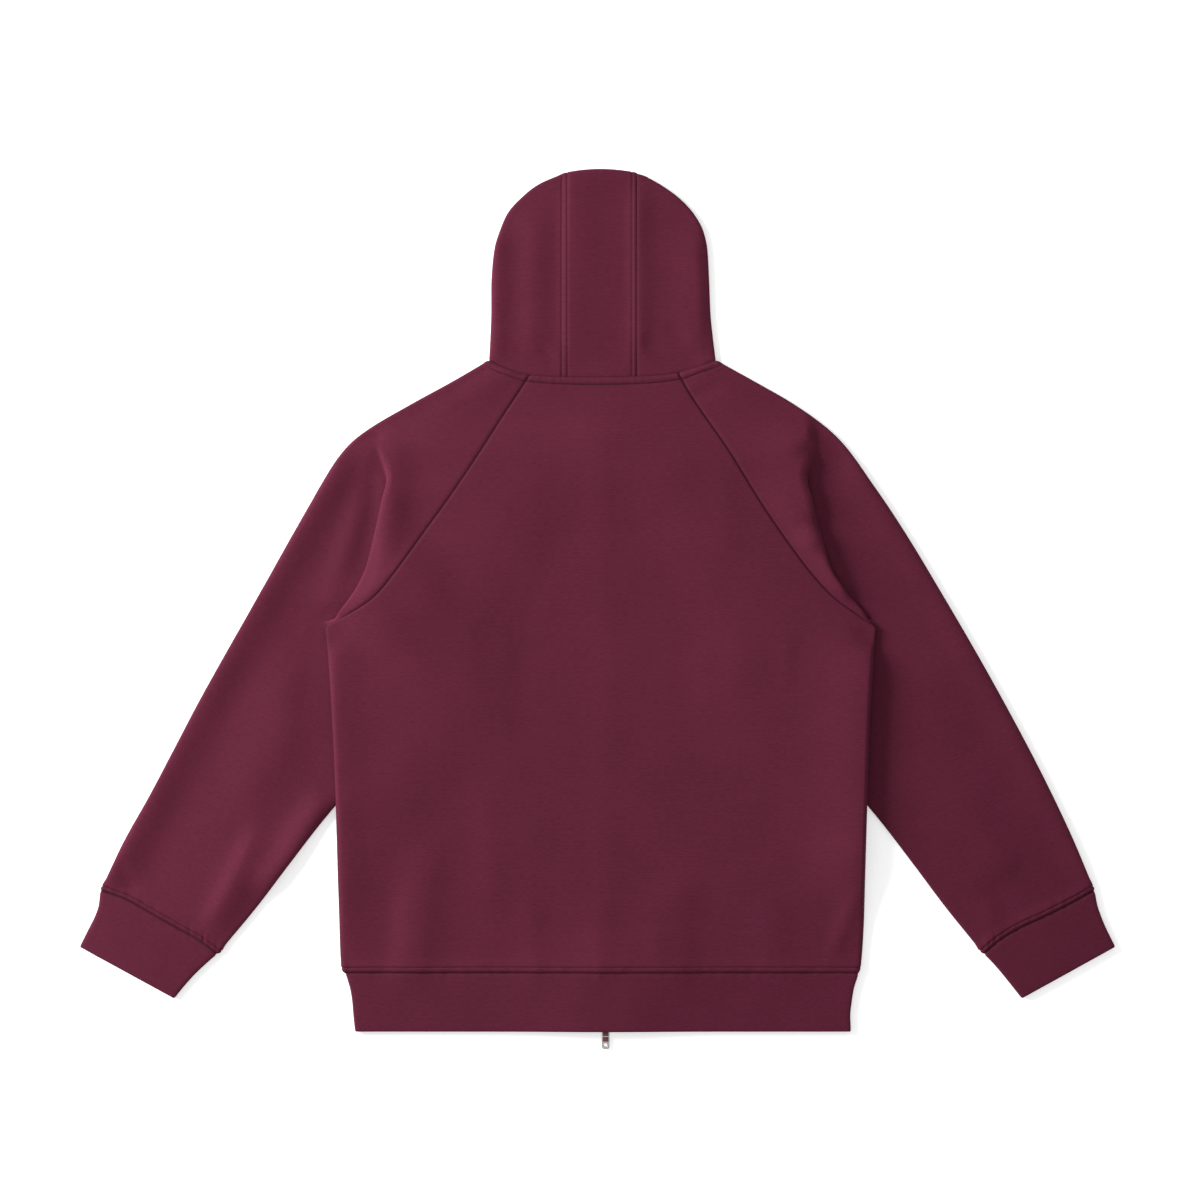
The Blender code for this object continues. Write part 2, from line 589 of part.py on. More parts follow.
def make_cuff(side):
    """A doubled cuff: a flattened ring that curves out to its opening."""
    rows = []
    for row in CUFF_ROWS:
        outer = Vector((CENTRE + side * getattr(row, f"outer_{side_name(side)}"), row.outer_y))
        inner = Vector((CENTRE + side * getattr(row, f"inner_{side_name(side)}"), row.inner_y))
        outward = (outer - inner).normalized()
        low, high = RIB / 2, RIB / 2 + 2 * OUTER_RADIUS
        outer_fold = fold(outer, outward, high, low, RIB)
        inner_fold = fold(inner, -outward, low, high, RIB)
        outer_root, inner_root = Vector(outer_fold[0][:2]), Vector(inner_fold[0][:2])
        bottom = [(p.x, p.y, low) for p in spread(outer_root, inner_root, 6)[1:-1]]
        top = [(p.x, p.y, high + 0.5 * math.sin(math.pi * step / 6))
               for step, p in enumerate(spread(inner_root, outer_root, 6))][1:]
        rows.append(outer_fold + bottom + inner_fold + top)
    return sheet(f"{side_name(side)}_cuff", rows, RIB, flip=side == LEFT)


# --- Body ---------------------------------------------------------------------------------

def body_edge(side, y, front):
    """Plan distance from the middle line to the edge of the back or a front at a height."""
    if y > BODY_SIDE[0].y:
        return reach(RAGLAN_FRONT if front else RAGLAN_BACK, side, y) - SEAM
    return reach(BODY_SIDE, side, y)


def curled_edge(side, y, front, z_here, z_other):
    """The last points of a row: flat up to a raglan seam, turned to meet the other layer at
    a side seam.  Returned from the inside out."""
    edge = body_edge(side, y, front)
    turn = smooth(BODY_SIDE[0].y + CURL_RAMP[0], BODY_SIDE[0].y + CURL_RAMP[1], y)
    radius = (abs(z_other - z_here) - SIDE_GAP) / 2
    root = edge - turn * (CLOTH / 2 + radius) - (1 - turn) * EDGE_WIDE
    points = []
    for share in (0.0, 0.5, 1.0):
        angle = math.pi / 2 * share
        plan = root + mix(EDGE_WIDE * share, radius * math.sin(angle), turn)
        height = z_here + turn * math.copysign(radius, z_other - z_here) * (1 - math.cos(angle))
        points.append((CENTRE + side * plan, height))
    return points


def back_row(y):
    """A row of the back from its left edge to its right edge."""
    ends = {}
    for side in (LEFT, RIGHT):
        edge_x = CENTRE + side * (body_edge(side, y, False) - 3.0)
        ends[side] = curled_edge(side, y, False, upper_z(edge_x, y), lower_z(edge_x, y))
    row = [(x, y, z) for x, z in reversed(ends[LEFT])]
    row += [(x, y, upper_z(x, y)) for x in across(ends[LEFT][0][0], ends[RIGHT][0][0])]
    return row + [(x, y, z) for x, z in ends[RIGHT]]


def make_back():
    """The back, from the neck seam to the hem seam."""
    rows = [back_row(section.back_y) for section in reversed(SECTIONS)]
    rows[0] = [(x, back_neck_y(x) - SEAM, z) for x, _, z in rows[0]]
    return sheet("back_panel", rows + [back_row(y) for y in SIDE_ROWS], flip=True)


def zip_edge_y(outer_y):
    """Where a front's row meets the zip: lower than its outer end near the neck."""
    return outer_y - FRONT_DROP * smooth(SIDE_ROWS[4], NECK_FRONT_Y[1], outer_y)


def front_row(side, outer_y):
    """A row of a front from its raglan or side edge to the zip."""
    edge_x = CENTRE + side * (body_edge(side, outer_y, True) - 3.0)
    z_here, z_other = lower_z(edge_x, outer_y), upper_z(edge_x, outer_y)
    curl = curled_edge(side, outer_y, True, z_here, z_other)
    start_x, end_x = curl[0][0], ZIP_X + side * FRONT_EDGE
    end_y = zip_edge_y(outer_y)
    points = [(x, outer_y, z) for x, z in reversed(curl)]
    for step in range(1, BODY_CELLS + 1):
        share = 1.0 - (1.0 - step / BODY_CELLS) ** CLOSER_AT_ZIP
        x, y = mix(start_x, end_x, share), mix(outer_y, end_y, share)
        points.append((x, y, lower_z(x, y)))
    return points


def make_front(side):
    """A front, from the neck seam and the raglan seam to the hem and the zip."""
    rows = [front_row(side, section.front_y) for section in reversed(SECTIONS)]
    rows[0] = [(x, front_neck_y(x) - SEAM, z) for x, _, z in rows[0]]
    rows += [front_row(side, y) for y in SIDE_ROWS]
    return sheet(f"{side_name(side)}_front", rows, flip=side == LEFT)


def band_z(x, upper):
    """Middle height of a layer of the hem band."""
    low = RIB / 2 + BAND_LIFT * near_zip(x)
    return low + (BODY_GAP + BAND_RISE * near_zip(x)) * upper


def make_band():
    """The hem band: one strip from the zip round the back to the zip, folded at both sides."""
    rows = []
    for y in BAND_ROWS:
        row = []
        for side in (LEFT, RIGHT):
            edge = CENTRE + side * reach(BAND_SIDE, side, y)
            low, high = band_z(edge, 0.0), band_z(edge, 1.0)
            outward = Vector((side, 0.0))
            turn = fold(Vector((edge, y)), outward, low, high, RIB)
            start, root = ZIP_X + side * FRONT_EDGE, turn[0][0]
            half = [(x, y, band_z(x, 0.0)) for x in spread(start, root, 6)[:-1]] + turn
            row += half if side == LEFT else [None] + half[::-1]
        gap = row.index(None)
        top = [(x, y, band_z(x, 1.0)) for x in across(row[gap - 1][0], row[gap + 1][0])]
        rows.append(row[:gap] + top + row[gap + 1:])
    return sheet("hem_band", rows, RIB, flip=False)


# --- Hood ---------------------------------------------------------------------------------

def crown_edge_y(x):
    """Height of the hood's top edge over the crown strip."""
    return HOOD_TOP - 5.0 * ((x - CENTRE) / HOOD_SEAM_LEFT) ** 2


def make_crown():
    """The crown strip: from the back neck up, over the top and down inside the folded hood."""
    left = CENTRE - HOOD_SEAM_LEFT + SEAM / 2
    right = CENTRE + HOOD_SEAM_RIGHT - SEAM / 2
    columns = []
    for x in spread(left, right, 6):
        edge = crown_edge_y(x)
        turn = fold(Vector((x, edge)), Vector((0.0, 1.0)), upper_z(x, edge), lower_z(x, edge))
        root = turn[0][1]
        up = [(x, y, upper_z(x, y)) for y in spread(back_neck_y(x), root, 9)[:-1]]
        down = [(x, y, lower_z(x, y)) for y in spread(root, CROWN_END + SEAM, 4)[1:]]
        columns.append(up + turn + down)
    return sheet("hood_center", columns)


def hood_row(side, share, seam):
    """A row of a side panel at a share of the way from the crown to the neck: over the back
    from the crown seam to the folded edge, and under it to the crown seam or the opening."""
    top_y = HOOD_SIDE_TOP
    edge_y = mix(top_y, HOOD_SIDE[0].y, share ** HOOD_FAN)
    edge_reach = reach(HOOD_SIDE, side, edge_y)
    edge = Vector((CENTRE + side * edge_reach, edge_y))
    turn = fold(edge, edge_normal(HOOD_SIDE, side, edge_y), upper_z(*edge), lower_z(*edge))
    root_x, root_y = turn[0][:2]

    seam_x = CENTRE + side * (seam + SEAM / 2)
    row = []
    for step, x in enumerate(spread(seam_x, root_x, 5)[:-1]):
        y = mix(mix(top_y, back_neck_y(x), share), mix(root_y, back_neck_y(x), share ** 4), step / 5)
        row.append((x, y, upper_z(x, y)))
    row += turn
    zip_edge = ZIP_X + side * FRONT_EDGE
    end = Vector((seam_x, mix(top_y, front_neck_y(zip_edge), share)))
    if end.y < CROWN_END:
        end.x = mix(zip_edge, seam_x, reach(FACE_OPENING, side, end.y))
    front_seam = Vector((CENTRE + side * NECK_FRONT_REACH[1], NECK_FRONT_Y[1]))
    middle = mix(mix(Vector((root_x, root_y)), end, 0.5), front_seam, share ** 2)
    for p in spread(Vector((root_x, root_y)), middle, 3)[1:] + spread(middle, end, 3)[1:]:
        row.append((p.x, p.y, lower_z(*p)))
    return row


def make_hood_side(side):
    """A side panel of the hood, folded along the hood's outer edge."""
    seam = HOOD_SEAM_LEFT if side == LEFT else HOOD_SEAM_RIGHT
    neck_end = front_neck_y(ZIP_X + side * FRONT_EDGE)
    crown_share = (HOOD_SIDE_TOP - CROWN_END) / (HOOD_SIDE_TOP - neck_end)
    shares = spread(HOOD_START, crown_share, 6)[:-1] + spread(crown_share, 1.0, 7)
    rows = [hood_row(side, share, seam) for share in shares]
    return sheet(f"hood_{side_name(side)}", rows, flip=side == LEFT)


# --- Zip ----------------------------------------------------------------------------------

def loft(sections):
    """A closed solid through rings of points, capped at both ends."""
    mesh_data = bmesh.new()
    rings = [[mesh_data.verts.new(point) for point in ring] for ring in sections]
    for near, far in zip(rings, rings[1:]):
        for index in range(len(near)):
            after = (index + 1) % len(near)
            mesh_data.faces.new((near[index], near[after], far[after], far[index]))
    mesh_data.faces.new(rings[0][::-1])
    mesh_data.faces.new(rings[-1])
    bmesh.ops.recalc_face_normals(mesh_data, faces=mesh_data.faces)
    return mesh_data


def make_tape(side):
    """One tape with its row of teeth as a plain bead that ends inside both sliders."""
    teeth_start, teeth_end = LOWER_SLIDER_Y + 0.5, UPPER_SLIDER_Y - 0.5
    row_ys = [zip_edge_y(section.front_y) for section in SECTIONS] + [zip_edge_y(y) for y in SIDE_ROWS]
    between = sorted(y for y in row_ys if teeth_start + 2.0 < y < teeth_end - 2.0)
    ys = [HEM_EDGE + 0.3, teeth_start - 0.2, teeth_start] + between + [teeth_end, teeth_end + 0.2, ZIP_TOP]
    sections = []
    for y in ys:
        with_teeth = teeth_start <= y <= teeth_end
        inner = SEAM / 2 if with_teeth else TEETH_WIDE
        bead_end = TEETH_WIDE + 0.3
        half = TEETH_HALF if with_teeth else TAPE / 2
        profile = ((inner, -half), (bead_end, -half), (bead_end, -TAPE / 2), (TAPE_WIDE, -TAPE / 2),
                   (TAPE_WIDE, TAPE / 2), (bead_end, TAPE / 2), (bead_end, half), (inner, half))
        if not with_teeth:
            profile = ((inner, -half), (bead_end, -half), (bead_end + 1.0, -half), (TAPE_WIDE, -half),
                       (TAPE_WIDE, half), (bead_end + 1.0, half), (bead_end, half), (inner, half))
        z = zip_z(y)
        sections.append([(ZIP_X + side * x, y, z + dz) for x, dz in profile])
    return add_object(f"zip_tape_{side_name(side)}", loft(sections), TAPE_FINISH)


def box(name, low, high, finish=SILVER, origin=Vector((0, 0, 0))):
    """A box between two corners."""
    mesh_data = bmesh.new()
    bmesh.ops.create_cube(mesh_data, size=1.0)
    bmesh.ops.scale(mesh_data, vec=Vector(high) - Vector(low), verts=mesh_data.verts)
    bmesh.ops.translate(mesh_data, vec=(Vector(high) + Vector(low)) / 2, verts=mesh_data.verts)
    return add_object(name, mesh_data, finish, origin)


def combine(main, other, operation):
    """Join another object to the main one, or cut it out, and leave it out of the build."""
    other.hide_render = True
    other.display_type = "WIRE"
    boolean = main.modifiers.new(other.name, "BOOLEAN")
    boolean.operation = operation
    boolean.solver = "EXACT"
    boolean.object = other


def make_slider(label, centre_y, post_side):
    """A slider: two plates joined by a post past the end of the teeth, and a bridge below
    that holds the pull."""
    z = zip_z(centre_y)
    half_x, half_y = SLIDER_WIDE / 2, SLIDER_LONG / 2
    channel = TEETH_HALF + TEETH_CLEAR
    inner, outer = z - channel, z - channel - SLIDER_PLATE
    slider = box(f"slider_{label}", (ZIP_X - half_x, centre_y - half_y, outer),
                 (ZIP_X + half_x, centre_y + half_y, inner))
    back = box(f"{label}_back_plate", (ZIP_X - half_x, centre_y - half_y, z + channel),
               (ZIP_X + half_x, centre_y + half_y, z + channel + SLIDER_PLATE))
    post_y = centre_y + post_side * (half_y - POST_FROM_END)
    post = box(f"{label}_post", (ZIP_X - POST_WIDE / 2, post_y - POST_LONG / 2, inner - BRIDGE_SINK),
               (ZIP_X + POST_WIDE / 2, post_y + POST_LONG / 2, z + channel + BRIDGE_SINK))
    bridge_low = PIVOT_Z - BRIDGE_BELOW
    half_bridge = BRIDGE_WIDE / 2
    bridge = box(f"{label}_bridge", (ZIP_X - half_bridge, centre_y - BRIDGE_REACH, bridge_low),
                 (ZIP_X + half_bridge, centre_y + BRIDGE_REACH, outer + BRIDGE_SINK))
    window_half = BRIDGE_REACH - BRIDGE_WALL
    window = box(f"{label}_window",
                 (ZIP_X - half_bridge - 1.0, centre_y - window_half, bridge_low + BRIDGE_THICK),
                 (ZIP_X + half_bridge + 1.0, centre_y + window_half, outer - 0.001))
    combine(slider, bridge, "UNION")
    combine(slider, window, "DIFFERENCE")
    combine(slider, back, "UNION")
    combine(slider, post, "UNION")
    return slider


def make_pull(label, centre_y):
    """A pull tab whose bar turns inside the slider's bridge; it lies toward the hem."""
    pivot = Vector((ZIP_X, centre_y, PIVOT_Z))
    low_z, high_z = PIVOT_Z - PULL_THICK / 2, PIVOT_Z + PULL_THICK / 2
    half = PULL_WIDE / 2
    tip = centre_y - PULL_LONG
    pull = box(f"pull_{label}", (ZIP_X - half, tip, low_z),
               (ZIP_X + half, centre_y + PULL_BAR / 2, high_z), SILVER, pivot)
    eye_near = centre_y - PULL_BAR / 2
    eye = box(f"{label}_eye", (ZIP_X - PULL_EYE_WIDE / 2, eye_near - PULL_EYE_LONG, low_z - 1),
              (ZIP_X + PULL_EYE_WIDE / 2, eye_near, high_z + 1))
    hole_data = bmesh.new()
    bmesh.ops.create_cone(hole_data, cap_ends=True, segments=PULL_SIDES, radius1=PULL_HOLE_RADIUS,
                          radius2=PULL_HOLE_RADIUS, depth=4.0)
    bmesh.ops.translate(hole_data, vec=(ZIP_X, tip + PULL_HOLE_FROM_TIP, PIVOT_Z), verts=hole_data.verts)
    hole = add_object(f"{label}_hole", hole_data, SILVER)
    combine(pull, eye, "DIFFERENCE")
    combine(pull, hole, "DIFFERENCE")
    return pull


def main():
    """Clear the scene and build every piece."""
    for old in list(bpy.data.objects):
        bpy.data.objects.remove(old, do_unlink=True)
    make_back()
    make_band()
    make_crown()
    for side in (LEFT, RIGHT):
        make_front(side)
        make_sleeve(side)
        make_cuff(side)
        make_hood_side(side)
        make_tape(side)
    for label, centre_y, post_side in (("lower", LOWER_SLIDER_Y, -1), ("upper", UPPER_SLIDER_Y, 1)):
        make_slider(label, centre_y, post_side)
        make_pull(label, centre_y)


main()
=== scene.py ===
"""Zip up hoodie laid face down: the sewn cloth, its creases, the sewing, the zip and the studio.

Lengths in the tables are millimetres in the garment's own frame: +Z up out of the back, +Y
toward the top of the hood, and the wearer's left toward -X.
"""

from __future__ import annotations

import logging
import math
from dataclasses import dataclass, field, replace
from enum import Enum
from typing import Callable, Iterator, NamedTuple, Sequence, TypeVar

import bmesh
import bpy
import numpy as np
from mathutils import Matrix, Vector

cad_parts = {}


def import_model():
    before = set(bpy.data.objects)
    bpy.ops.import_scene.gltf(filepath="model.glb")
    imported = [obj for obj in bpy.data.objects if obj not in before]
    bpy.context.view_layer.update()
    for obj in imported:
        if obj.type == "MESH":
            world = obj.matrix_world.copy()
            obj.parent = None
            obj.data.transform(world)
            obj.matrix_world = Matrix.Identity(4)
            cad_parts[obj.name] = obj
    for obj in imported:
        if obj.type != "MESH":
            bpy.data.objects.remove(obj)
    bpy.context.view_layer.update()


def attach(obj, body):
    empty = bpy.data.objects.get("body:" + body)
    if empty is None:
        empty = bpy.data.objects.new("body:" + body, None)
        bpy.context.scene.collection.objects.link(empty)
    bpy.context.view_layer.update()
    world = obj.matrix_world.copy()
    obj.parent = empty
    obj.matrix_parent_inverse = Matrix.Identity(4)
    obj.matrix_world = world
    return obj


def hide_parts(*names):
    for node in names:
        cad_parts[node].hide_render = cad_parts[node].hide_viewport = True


log = logging.getLogger("hoodie")

MM = 0.001
BODY = "garment"

Array = np.ndarray
Mixed = TypeVar("Mixed", float, Vector, Array)
Number = float | Array
Two = tuple[float, float]
Points = list[tuple[float, ...]]
BMesh = bmesh.types.BMesh
Object = bpy.types.Object
Node = bpy.types.Node
Socket = bpy.types.NodeSocket


class Side(Enum):
    """The wearer's left or right."""

    LEFT = -1
    RIGHT = 1

    @property
    def label(self) -> str:
        """The side's word in names and table columns."""
        return "left" if self is Side.LEFT else "right"


# --- Sizes and tables ---


@dataclass(frozen=True)
class Sizes:
    """Sizes that several pieces share, in millimetres."""

    cloth: float = 1.5
    rib: float = 2.4
    seam: float = 0.4
    side_gap: float = 1.4
    layer: float = 2.4
    centre: float = 3.3
    zip_x: float = 8.4
    hem_seam: float = -399.5
    hem_edge: float = -464.2
    hood_top: float = 484.0
    hood_side_top: float = 478.0
    hood_seam_left: float = 42.9
    hood_seam_right: float = 39.6
    crown_end: float = 372.0
    lift: float = 4.3
    body_gap: float = 3.2
    outer_radius: float = 1.6
    sleeve_puff: float = 1.2
    front_edge: float = 5.0
    tape: float = 0.8
    tape_wide: float = 14.0
    tape_clear: float = 0.3
    zip_lift: float = 2.8
    band_lift: float = 1.9
    lower_slider_y: float = -455.0
    upper_slider_y: float = 173.0
    zip_top: float = 181.5
    pull_long: float = 28.8
    pivot_z: float = 1.72

    @property
    def floor(self) -> float:
        """Middle of a layer that lies on the floor."""
        return self.cloth / 2

    @property
    def second(self) -> float:
        """Middle of a layer that lies on that one."""
        return self.floor + self.layer


S = Sizes()


class Pair(NamedTuple):
    """Distances from the middle line to the wearer's left and right at a height y."""

    y: float
    left: float
    right: float


def pairs(*rows: tuple[float, float, float]) -> tuple[Pair, ...]:
    """A table of such distances."""
    return tuple(Pair(*row) for row in rows)


class Ring(NamedTuple):
    """A closed ring of a sleeve: its places on both edges, its seam and its bunched share."""

    outer_y: float
    inner_y: float
    seam: float
    bunched: float


class Section(NamedTuple):
    """An open section of a sleeve between its two raglan seams."""

    outer_y: float
    crest_y: float | None
    back_y: float
    front_y: float
    tuck: float | None
    under: float | None
    turn: float


class CuffRow(NamedTuple):
    """Where a cuff's two edges lie."""

    outer_left: float
    outer_right: float
    outer_y: float
    inner_left: float
    inner_right: float
    inner_y: float


SLEEVE_OUTER = pairs(
    (-309.1, 550, 542.5), (-258.5, 526, 521.5), (-205.7, 496.5, 497), (-100.1, 441, 442),
    (5.5, 381.7, 381.7), (111.1, 322.3, 317), (150.7, 299.2, 289.5), (177.1, 280.5, 270.6),
    (190.3, 266.2, 258.5), (216.7, 224.5, 225.5), (240.9, 180.5, 186), (272.8, 123.2, 126.5),
)
SLEEVE_INNER = pairs(
    (-379.5, 421.3, 420.2), (-337.7, 386.1, 386.1), (-232.1, 304.7, 305.8), (-182.6, 263, 264),
    (-138.6, 226.6, 226.6), (-84.7, 184, 184),
)
RAGLAN_BACK = pairs(
    (-20.9, 302.5, 302.5), (-9.9, 285, 286), (-1.1, 267.3, 274), (12.1, 249.7, 256.3),
    (57.2, 214.5, 217.8), (119.9, 168.3, 173.8), (177.1, 129.8, 138.6), (213.4, 106.7, 113.3),
    (256.3, 78.1, 84.7),
)
RAGLAN_FRONT = RAGLAN_BACK[:4] + pairs(
    (57.2, 212.3, 214.3), (119.9, 155.1, 155.1), (177.1, 104.5, 104.5), (224.4, 62.7, 62.7),
)
CREST = pairs(
    (-12, 298, 299), (0, 285.5, 286.5), (18.7, 271.7, 270), (37.4, 261.8, 256),
    (59.4, 254.1, 248.6), (84.7, 248.6, 240.9), (119.9, 240.9, 232.1), (147.4, 237.6, 228.8),
    (168.3, 246.4, 227.7),
)
BODY_SIDE = pairs(
    (-20.9, 302.5, 302.5), (-100.1, 297, 297), (-218.9, 291.5, 292.6), (-298.1, 289.3, 290.4),
    (-364.1, 287.1, 288.2), (-390.5, 286, 286), (-399.5, 283, 284),
)
BAND_SIDE = pairs(
    (-400, 281.5, 283.5), (-416.9, 276.1, 278.3), (-430.1, 273.9, 276.1), (-443.3, 272.8, 274.5),
    (-464.2, 270.6, 275),
)
HOOD_SIDE = pairs(
    (272.8, 123.2, 126.5), (320.1, 121, 121), (364.1, 120.5, 119), (399.3, 116.6, 116.6),
    (416.9, 111.1, 112.2), (434.5, 103.4, 102.3), (452.1, 88, 85.8), (469.7, 63.8, 60.5),
    (478.5, 42.9, 44),
)
# The face opening's half width under the hood, as a share of the crown strip's.
FACE_OPENING = pairs(
    (180, 0, 0), (230, 0.10, 0.10), (280, 0.35, 0.35), (330, 0.72, 0.72), (372, 1, 1),
)
# The neck seam: heights at the distance from the middle line that the first column gives.
NECK_BACK = pairs(
    (0, 255, 255), (30, 255, 255.5), (62.7, 256, 257), (84.7, 258.5, 260), (105, 264.5, 265.5),
    (123.2, 272.8, 271.6), (126.5, 274.2, 272.8),
)
NECK_FRONT_REACH = (0.0, 62.7, 123.2)
NECK_FRONT_Y = (177.0, 224.4, 272.8)
RINGS = (
    Ring(-309.1, -378.9, 0.85, 0.60), Ring(-292, -363, 0.84, 0.60),
    Ring(-255, -328, 0.80, 0.58), Ring(-205.7, -282, 0.72, 0.55),
    Ring(-155, -236, 0.65, 0.50), Ring(-105, -190, 0.58, 0.42),
    Ring(-62, -150, 0.50, 0.32), Ring(-25, -117, 0.43, 0.22),
    Ring(5, -95, 0.39, 0.14),
)
UNDERARM = Section(20.9, -20.9, -20.9, -20.9, None, None, 0)
UNDERARM_INNER_Y = -84.7
SECTIONS = (
    Section(28, -12, -14.5, -14.5, 0, 118, 0),
    Section(38, 0, -5, -5, 3, 100, 0),
    Section(58.3, 18.7, 12.1, 7, 8, 76, 0),
    Section(84.7, 45, 40, 40, 12, 50, 0),
    Section(115, 84.7, 80, 84, 12, 32, 0),
    Section(142, 119.9, 117, 122, 8, 16, 0),
    Section(166, 147, 151, 152, 0, 0, 1),
    Section(182, None, 168, 168, None, None, 0.55),
    Section(196, None, 183, 184, None, None, 0),
    Section(226, None, 213, 204, None, None, 0),
    Section(250, None, 238, 215, None, None, 0),
    Section(272.3, None, 256, 224, None, None, 0),
)
SIDE_ROWS = (-20.9, -32, -62, -100.1, -150, -200, -250, -298.1, -340, -372, -390.5, S.hem_seam)
BAND_ROWS = (S.hem_seam - S.seam, -408, -417, -430, -447, S.hem_edge)
CUFF_ROWS = (
    CuffRow(550.6, 542.8, -309.7, 422, 421, -379.5),
    CuffRow(552.2, 545.6, -324.5, 434.5, 431.5, -390.5),
    CuffRow(556.6, 550, -337.7, 447.5, 442.2, -403),
    CuffRow(563.2, 555.5, -350.9, 459, 452.6, -416),
    CuffRow(573.1, 565.4, -370.7, 468.6, 462, -427.9),
)
# How far a cuff's seam bows toward the shoulder, at shares of the way in from its outer end.
SEAM_BOW = pairs(
    (0, 0, 0), (0.2, 5.2, 0.5), (0.45, 4.4, 2.6), (0.7, 4.2, 5.5), (0.87, 3.8, 4.4), (1, 0, 0),
)


# --- Small helpers ---


def share_of(start: float, end: float, value: float) -> float:
    """How far a value is on the way from one to another, held between 0 and 1."""
    return min(max((value - start) / (end - start), 0.0), 1.0)


def smooth(start: float, end: float, value: float) -> float:
    """From 0 to 1 between two values, with a soft start and end."""
    t = share_of(start, end, value)
    return t * t * (3.0 - 2.0 * t)


def smooth_all(start: float, end: float, values: Array) -> Array:
    """The same as smooth for an array of values."""
    t = np.clip((values - start) / (end - start), 0.0, 1.0)
    return t * t * (3.0 - 2.0 * t)


def mix(a: Mixed, b: Mixed, t: float) -> Mixed:
    """The value or point between two others."""
    return a + (b - a) * t


def spread(start: Mixed, end: Mixed, cells: int) -> list[Mixed]:
    """Values or plan points from one to another, both included."""
    return [mix(start, end, step / cells) for step in range(cells + 1)]


def hermite(t: Number, values: Sequence[Number], slopes: Sequence[Number], span: Number) -> Number:
    """A smooth curve between two values with the slopes there, at a share t of its span."""
    return (values[0] * (1 + 2 * t) * (1 - t) ** 2 + values[1] * t * t * (3 - 2 * t)
            + span * (slopes[0] * t * (1 - t) ** 2 + slopes[1] * t * t * (t - 1)))


def read(table: Sequence[Pair], side: Side, value: float) -> float:
    """Read a table's column for a side, smoothly between its rows.

    Args:
        table: Rows whose first column is what they are looked up by.
        side: The side whose column is read.
        value: Where to read it.

    Returns:
        The column's value there, held constant past both ends.
    """
    rows = sorted(table, key=lambda row: row[0])
    keys = np.array([row[0] for row in rows], dtype=float)
    values = np.array([getattr(row, side.label) for row in rows], dtype=float)
    slopes = np.gradient(values, keys)
    value = min(max(value, keys[0]), keys[-1])
    start = min(int(np.searchsorted(keys, value, side="right")) - 1, len(keys) - 2)
    span = keys[start + 1] - keys[start]
    t = (value - keys[start]) / span
    return float(hermite(t, values[start:start + 2], slopes[start:start + 2], span))


def side_x(side: Side, distance: float) -> float:
    """The place along X at a distance from the middle line."""
    return S.centre + side.value * distance


def zip_edge(side: Side) -> float:
    """The place along X where the cloth of a side ends beside the zip."""
    return S.zip_x + side.value * S.front_edge


def spot(table: Sequence[Pair], side: Side, y: float) -> Vector:
    """The plan point of an outline at a height."""
    return Vector((side_x(side, read(table, side, y)), y))


def edge_normal(table: Sequence[Pair], side: Side, y: float) -> Vector:
    """The outward direction in plan across an outline that leans outward toward lower y."""
    along = spot(table, side, y - 1.0) - spot(table, side, y + 1.0)
    return Vector((side.value * abs(along.y), abs(along.x))).normalized()


def side_at(x: float) -> Side:
    """The side of the middle line that a place along X is on."""
    return Side.LEFT if x < S.centre else Side.RIGHT


def back_neck_y(x: float) -> float:
    """Height of the neck seam on the back."""
    return read(NECK_BACK, side_at(x), abs(x - S.centre))


def front_neck_y(x: float) -> float:
    """Height of the neck seam on the front."""
    return float(np.interp(abs(x - S.centre), NECK_FRONT_REACH, NECK_FRONT_Y))


def bowed(side: Side, ring: Points, outer: Vector, inner: Vector, amount: float) -> Points:
    """Bow the upper layer of a ring toward the shoulder.

    Args:
        side: The sleeve's side.
        ring: The ring's points.
        outer: Its outermost plan point.
        inner: Its innermost plan point.
        amount: Share of the seam's own bow.

    Returns:
        The moved points.
    """
    inward = (inner - outer).normalized()
    upward = Vector((abs(inward.y) * -side.value, abs(inward.x)))
    low, high = min(p[2] for p in ring), max(p[2] for p in ring)
    points = []
    for x, y, z in ring:
        share = (Vector((x, y)) - outer).dot(inward) / (inner - outer).length
        way = upward * read(SEAM_BOW, side, share) * amount * (z - low) / (high - low)
        points.append((x + way.x, y + way.y, z))
    return points


def fold(edge: Vector, outward: Vector, z_start: float, z_end: float,
         wall: float = S.cloth, cells: int = 3) -> Points:
    """Points of a wall's middle round a fold.

    Args:
        edge: The plan point that the outside of the fold reaches.
        outward: The plan direction that the fold points in.
        z_start: Height where the fold starts.
        z_end: Height where it ends.
        wall: Thickness of the cloth.
        cells: Faces round the fold.

    Returns:
        The points, from the first height to the second.
    """
    radius = abs(z_end - z_start) / 2
    root = edge - outward * (wall / 2 + radius)
    points = []
    for step in range(cells + 1):
        angle = math.pi * step / cells
        plan = root + outward * radius * math.sin(angle)
        points.append((plan.x, plan.y, mix(z_start, z_end, (1 - math.cos(angle)) / 2)))
    return points


# --- How the layers lie ---


